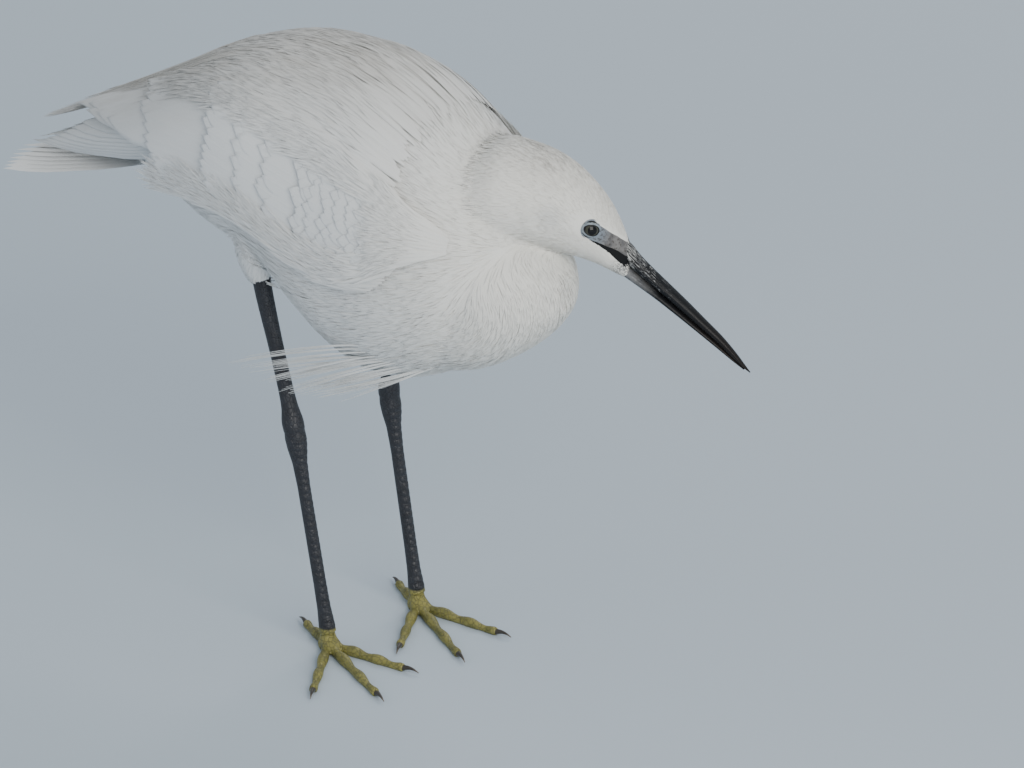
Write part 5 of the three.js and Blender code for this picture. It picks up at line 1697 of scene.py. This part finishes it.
def make_legs(settings):
    """The bare legs and feet, each one scaled skin from the thigh feathers to the claws."""
    look = leg_material()
    made = []
    for word, leg in LEGS.items():
        hock, ankle = np.array(leg["hock"], float), np.array(leg["ankle"], float)
        tibia = resample(leg["tibia"] + [(*leg["hock"], 4.9)], 60)
        parts = [loft(tube(tibia[:, :3], tibia[:, 3], 28))]
        share = np.linspace(0, 1, 140)
        thick = np.interp(share, [0, 0.04, 0.09, 0.16, 0.28, 0.75, 0.88, 0.96, 1],
                          [4.6, 4.9, 4.5, 3.4, 2.9, 2.9, 3.1, 3.7, 3.9])
        path = hock + share[:, None] * (ankle - hock)
        rings = tube(path, thick, 28)
        parts.append(loft(rings))
        foot = [(*ankle[:2], 7.4, 3.3), (*ankle[:2], 5, 4), (*ankle[:2], 2, 4.6), (*ankle[:2], 0.0, 3.8)]
        foot = resample(foot, 16)
        pad = tube(foot[:, :3], foot[:, 3], 28)
        pad[..., 2] = np.maximum(pad[..., 2], 0)
        parts.append(loft(pad))
        parts += [loft(toe_rings(leg, angle, length)) for angle, length in TOES.values()]
        piece = new_object(f"leg_{word}", *join(parts), look)
        remesh = piece.modifiers.new("Remesh", "REMESH")
        remesh.mode = "VOXEL"
        remesh.voxel_size = settings.leg_cell
        even = piece.modifiers.new("Even", "SMOOTH")
        even.iterations = 3
        mesh = bpy.data.meshes.new_from_object(piece.evaluated_get(bpy.context.evaluated_depsgraph_get()))
        piece.modifiers.clear()
        piece.data = mesh
        mesh.shade_smooth()
        mesh.materials.clear()
        mesh.materials.append(look)
        points = vertex_places(mesh) * 1000 - SHIFT
        points[:, 2] = np.where(points[:, 2] < 0.22, 0.0, points[:, 2])
        along = np.clip((hock[2] - points[:, 2]) / (hock[2] - ankle[2]), -1, 1)
        middle = hock + np.clip(along, 0, 1)[:, None] * (ankle - hock)
        on_shank = (points[:, 2] > 11) * (points[:, 2] < hock[2] - 4)
        ahead = np.clip((points - middle)[:, 0] / 2.6, 0, 1) * on_shank
        wave = np.abs(np.sin(points[:, 2] / 3.4 * np.pi))
        points[:, 0] += ahead * 0.16 * wave
        set_values(mesh, "scute", ahead * wave)
        set_values(mesh, "foot", np.clip((12.5 - points[:, 2]) / 4, 0, 1))
        mesh.vertices.foreach_set("co", metres(points).astype(np.float32).ravel())
        mesh.update()
        replaced = [f"tibia_{word}", f"tarsus_{word}", f"foot_{word}"]
        made.append(finished(piece, f"leg_{word}", replaced))
    return made


def make_claws():
    """The curved claws, eight in all."""
    look = claw_material()
    made = []
    for word, leg in LEGS.items():
        for toe, (angle, length) in TOES.items():
            s = np.linspace(0, 1, 28)
            reach = length + GAP * 0.2 + s * CLAW_LENGTH
            path = np.array([*leg["ankle"][:2], 0]) + reach[:, None] * toe_way(leg, angle)
            path[:, 2] = 1.5 + 1.1 * np.sin(np.pi * np.minimum(1, s * 0.9)) - 0.75 * s
            thick = 1.35 + (0.2 - 1.35) * s**0.9
            rings = tube(path, thick, 18, guide=(0, 0, 1))
            rings[..., 2] = np.maximum(rings[..., 2], 0.1)
            vertices, faces = loft(rings)
            piece = new_object(f"claw_{word}_{toe}_horn", vertices, faces, look)
            set_values(piece.data, "along", np.concatenate([np.repeat(s, 18), [0, 1]]))
            made.append(finished(piece, f"claw_{word}_{toe}_horn", [f"claw_{word}_{toe}"]))
    return made


# Stage
CAMERA_LENS, CAMERA_DISTANCE = 237.3, 3.0
CAMERA_AZIMUTH, CAMERA_HEIGHT = 35, 24
CAMERA_AIM, LIGHT_AIM = (46.5, 32.6, 122.7), (46.5, 32.6, 180)
FLOOR_REACH, FLOOR_LEVEL = 9000, -0.2


def make_stage(settings):
    """Plain pale floor, soft light and the camera."""
    signs = [(-1, -1), (1, -1), (1, 1), (-1, 1)]
    corners = [(x * FLOOR_REACH, y * FLOOR_REACH, FLOOR_LEVEL) for x, y in signs]
    floor = new_object("floor", corners, [(0, 1, 2, 3)])
    look = new_material("Studio floor", roughness=0.9, specular_ior_level=0.1)
    nodes = Nodes(look.node_tree)
    cloud = nodes.noise(nodes.add("ShaderNodeTexCoord").outputs["Object"], 3.0, 2.0)
    color = nodes.mix(cloud, (0.52, 0.6, 0.68, 1), (0.545, 0.625, 0.7, 1))
    nodes.link(color, look.node_tree.nodes["Principled BSDF"].inputs["Base Color"])
    floor.data.materials.append(look)
    world = bpy.data.worlds.new("Studio")
    world.use_nodes = True
    world.node_tree.nodes["Background"].inputs["Color"].default_value = (0.86, 0.93, 1.0, 1)
    world.node_tree.nodes["Background"].inputs["Strength"].default_value = 0.5
    bpy.context.scene.world = world
    middle = Vector(metres(LIGHT_AIM).tolist())
    lights = [
        ("Key", (1.9, -1.15, 1.0), 1.6, settings.key_power, (1, 0.97, 0.91)),
        ("Fill", (-1.6, -1.4, 1.0), 1.8, settings.key_power * 0.1, (0.9, 0.95, 1.0)),
        ("Rim", (-0.6, 1.7, 1.5), 1.2, settings.key_power * 0.3, (1, 0.98, 0.95)),
    ]
    for name, offset, size, power, tone in lights:
        light = bpy.data.lights.new(name, "AREA")
        light.size, light.energy, light.color = size, power, tone
        lamp = bpy.data.objects.new(name, light)
        lamp.location = middle + Vector(offset)
        lamp.rotation_euler = (-Vector(offset)).to_track_quat("-Z", "Y").to_euler()
        bpy.context.scene.collection.objects.link(lamp)
    camera = bpy.data.cameras.new("Camera")
    camera.sensor_width = 36
    camera.lens = CAMERA_LENS
    eye = bpy.data.objects.new("Camera", camera)
    azimuth, height = math.radians(CAMERA_AZIMUTH), math.radians(CAMERA_HEIGHT)
    level = math.cos(height)
    back = Vector((math.sin(azimuth) * level, -math.cos(azimuth) * level, math.sin(height)))
    eye.location = Vector(metres(CAMERA_AIM).tolist()) + back * CAMERA_DISTANCE
    eye.rotation_mode = "QUATERNION"
    eye.rotation_quaternion = (-back).to_track_quat("-Z", "Y")
    bpy.context.scene.collection.objects.link(eye)
    bpy.context.scene.camera = eye
    camera.clip_start, camera.clip_end = 0.05, 60


# Add-on
class EgretSettings(bpy.types.PropertyGroup):
    """Sizes and colours of the bird that a user may change."""

    skin_cell: FloatProperty(
        name="Skin cell", description="Size of the skin's faces",
        default=0.0012, unit="LENGTH",
    )
    leg_cell: FloatProperty(
        name="Leg cell", description="Size of the leg skin's faces",
        default=0.0005, unit="LENGTH",
    )
    coat_density: FloatProperty(
        name="Coat density", description="Share of small feathers set",
        default=1.0, min=0.05,
    )
    white: FloatVectorProperty(
        name="White", description="White of the plumage",
        subtype="COLOR", default=(0.83, 0.84, 0.835),
    )
    # Painted warm light on the front of the plumage.
    warm_light: FloatVectorProperty(
        name="Warm light", description="Painted warm light on the front",
        subtype="COLOR", default=(0.86, 0.845, 0.79),
    )
    bill: FloatVectorProperty(
        name="Bill", description="Black of the bill",
        subtype="COLOR", default=(0.008, 0.009, 0.011),
    )
    leg: FloatVectorProperty(
        name="Leg", description="Black of the legs",
        subtype="COLOR", default=(0.012, 0.012, 0.015),
    )
    foot: FloatVectorProperty(
        name="Foot", description="Yellow of the toes",
        subtype="COLOR", default=(0.27, 0.25, 0.07),
    )
    key_power: FloatProperty(
        name="Key light", description="Power of the main light",
        default=50.0, unit="POWER",
    )


class EGRET_OT_stage(bpy.types.Operator):
    """Sets the floor, the lights and the camera"""

    bl_idname = "egret.stage"
    bl_label = "Stage"

    def execute(self, context):
        make_stage(context.scene.egret)
        return {"FINISHED"}


class EGRET_OT_skin(bpy.types.Operator):
    """Makes the one skin of head, neck, body and thighs"""

    bl_idname = "egret.skin"
    bl_label = "Skin"

    def execute(self, context):
        make_skin(context.scene.egret)
        return {"FINISHED"}


class EGRET_OT_coat(bpy.types.Operator):
    """Lays the small feathers over the skin"""

    bl_idname = "egret.coat"
    bl_label = "Small feathers"

    def execute(self, context):
        make_coat(context.scene.egret)
        return {"FINISHED"}


class EGRET_OT_wings(bpy.types.Operator):
    """Lays the folded wings' feathers in tiers"""

    bl_idname = "egret.wings"
    bl_label = "Wings"

    def execute(self, context):
        make_wings()
        return {"FINISHED"}


class EGRET_OT_tail(bpy.types.Operator):
    """Makes the tail feathers and their coverts"""

    bl_idname = "egret.tail"
    bl_label = "Tail"

    def execute(self, context):
        make_tail()
        return {"FINISHED"}


class EGRET_OT_plumes(bpy.types.Operator):
    """Makes the long plumes of breast and back"""

    bl_idname = "egret.plumes"
    bl_label = "Plumes"

    def execute(self, context):
        make_plumes()
        return {"FINISHED"}


class EGRET_OT_eyes(bpy.types.Operator):
    """Makes the eyes and their lids"""

    bl_idname = "egret.eyes"
    bl_label = "Eyes"

    def execute(self, context):
        make_eyes()
        return {"FINISHED"}


class EGRET_OT_bill(bpy.types.Operator):
    """Makes the upper and lower bill"""

    bl_idname = "egret.bill"
    bl_label = "Bill"

    def execute(self, context):
        make_bill()
        return {"FINISHED"}


class EGRET_OT_legs(bpy.types.Operator):
    """Makes the scaled legs and feet"""

    bl_idname = "egret.legs"
    bl_label = "Legs"

    def execute(self, context):
        make_legs(context.scene.egret)
        return {"FINISHED"}


class EGRET_OT_claws(bpy.types.Operator):
    """Makes the eight claws"""

    bl_idname = "egret.claws"
    bl_label = "Claws"

    def execute(self, context):
        make_claws()
        return {"FINISHED"}


OPERATORS = [
    EGRET_OT_stage, EGRET_OT_skin, EGRET_OT_coat, EGRET_OT_wings, EGRET_OT_tail, EGRET_OT_plumes,
    EGRET_OT_eyes, EGRET_OT_bill, EGRET_OT_legs, EGRET_OT_claws,
]


class EGRET_PT_panel(bpy.types.Panel):
    """Lists the bird's sizes, colours and pieces"""

    bl_idname = "EGRET_PT_panel"
    bl_label = "Little egret"
    bl_space_type = "VIEW_3D"
    bl_region_type = "UI"
    bl_category = "Egret"

    def draw(self, context):
        settings = context.scene.egret
        for name in settings.bl_rna.properties.keys():
            if name not in ("rna_type", "name"):
                self.layout.prop(settings, name)
        for kind in OPERATORS:
            self.layout.operator(kind.bl_idname)


CLASSES = [EgretSettings, *OPERATORS, EGRET_PT_panel]


def register():
    for kind in CLASSES:
        bpy.utils.register_class(kind)
    bpy.types.Scene.egret = PointerProperty(type=EgretSettings)


def unregister():
    del bpy.types.Scene.egret
    for kind in reversed(CLASSES):
        bpy.utils.unregister_class(kind)


def clear_scratch():
    """Removes the unit feathers and the surfaces that feathers were laid on."""
    meshes = [o for o in bpy.context.scene.objects if o.type == "MESH" and o.hide_render]
    for piece in [o for o in meshes if "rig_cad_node" not in o]:
        bpy.data.objects.remove(piece)


def main():
    register()
    for kind in OPERATORS:
        group, name = kind.bl_idname.split(".")
        getattr(getattr(bpy.ops, group), name)()
    clear_scratch()


if __name__ == "__main__":
    main()
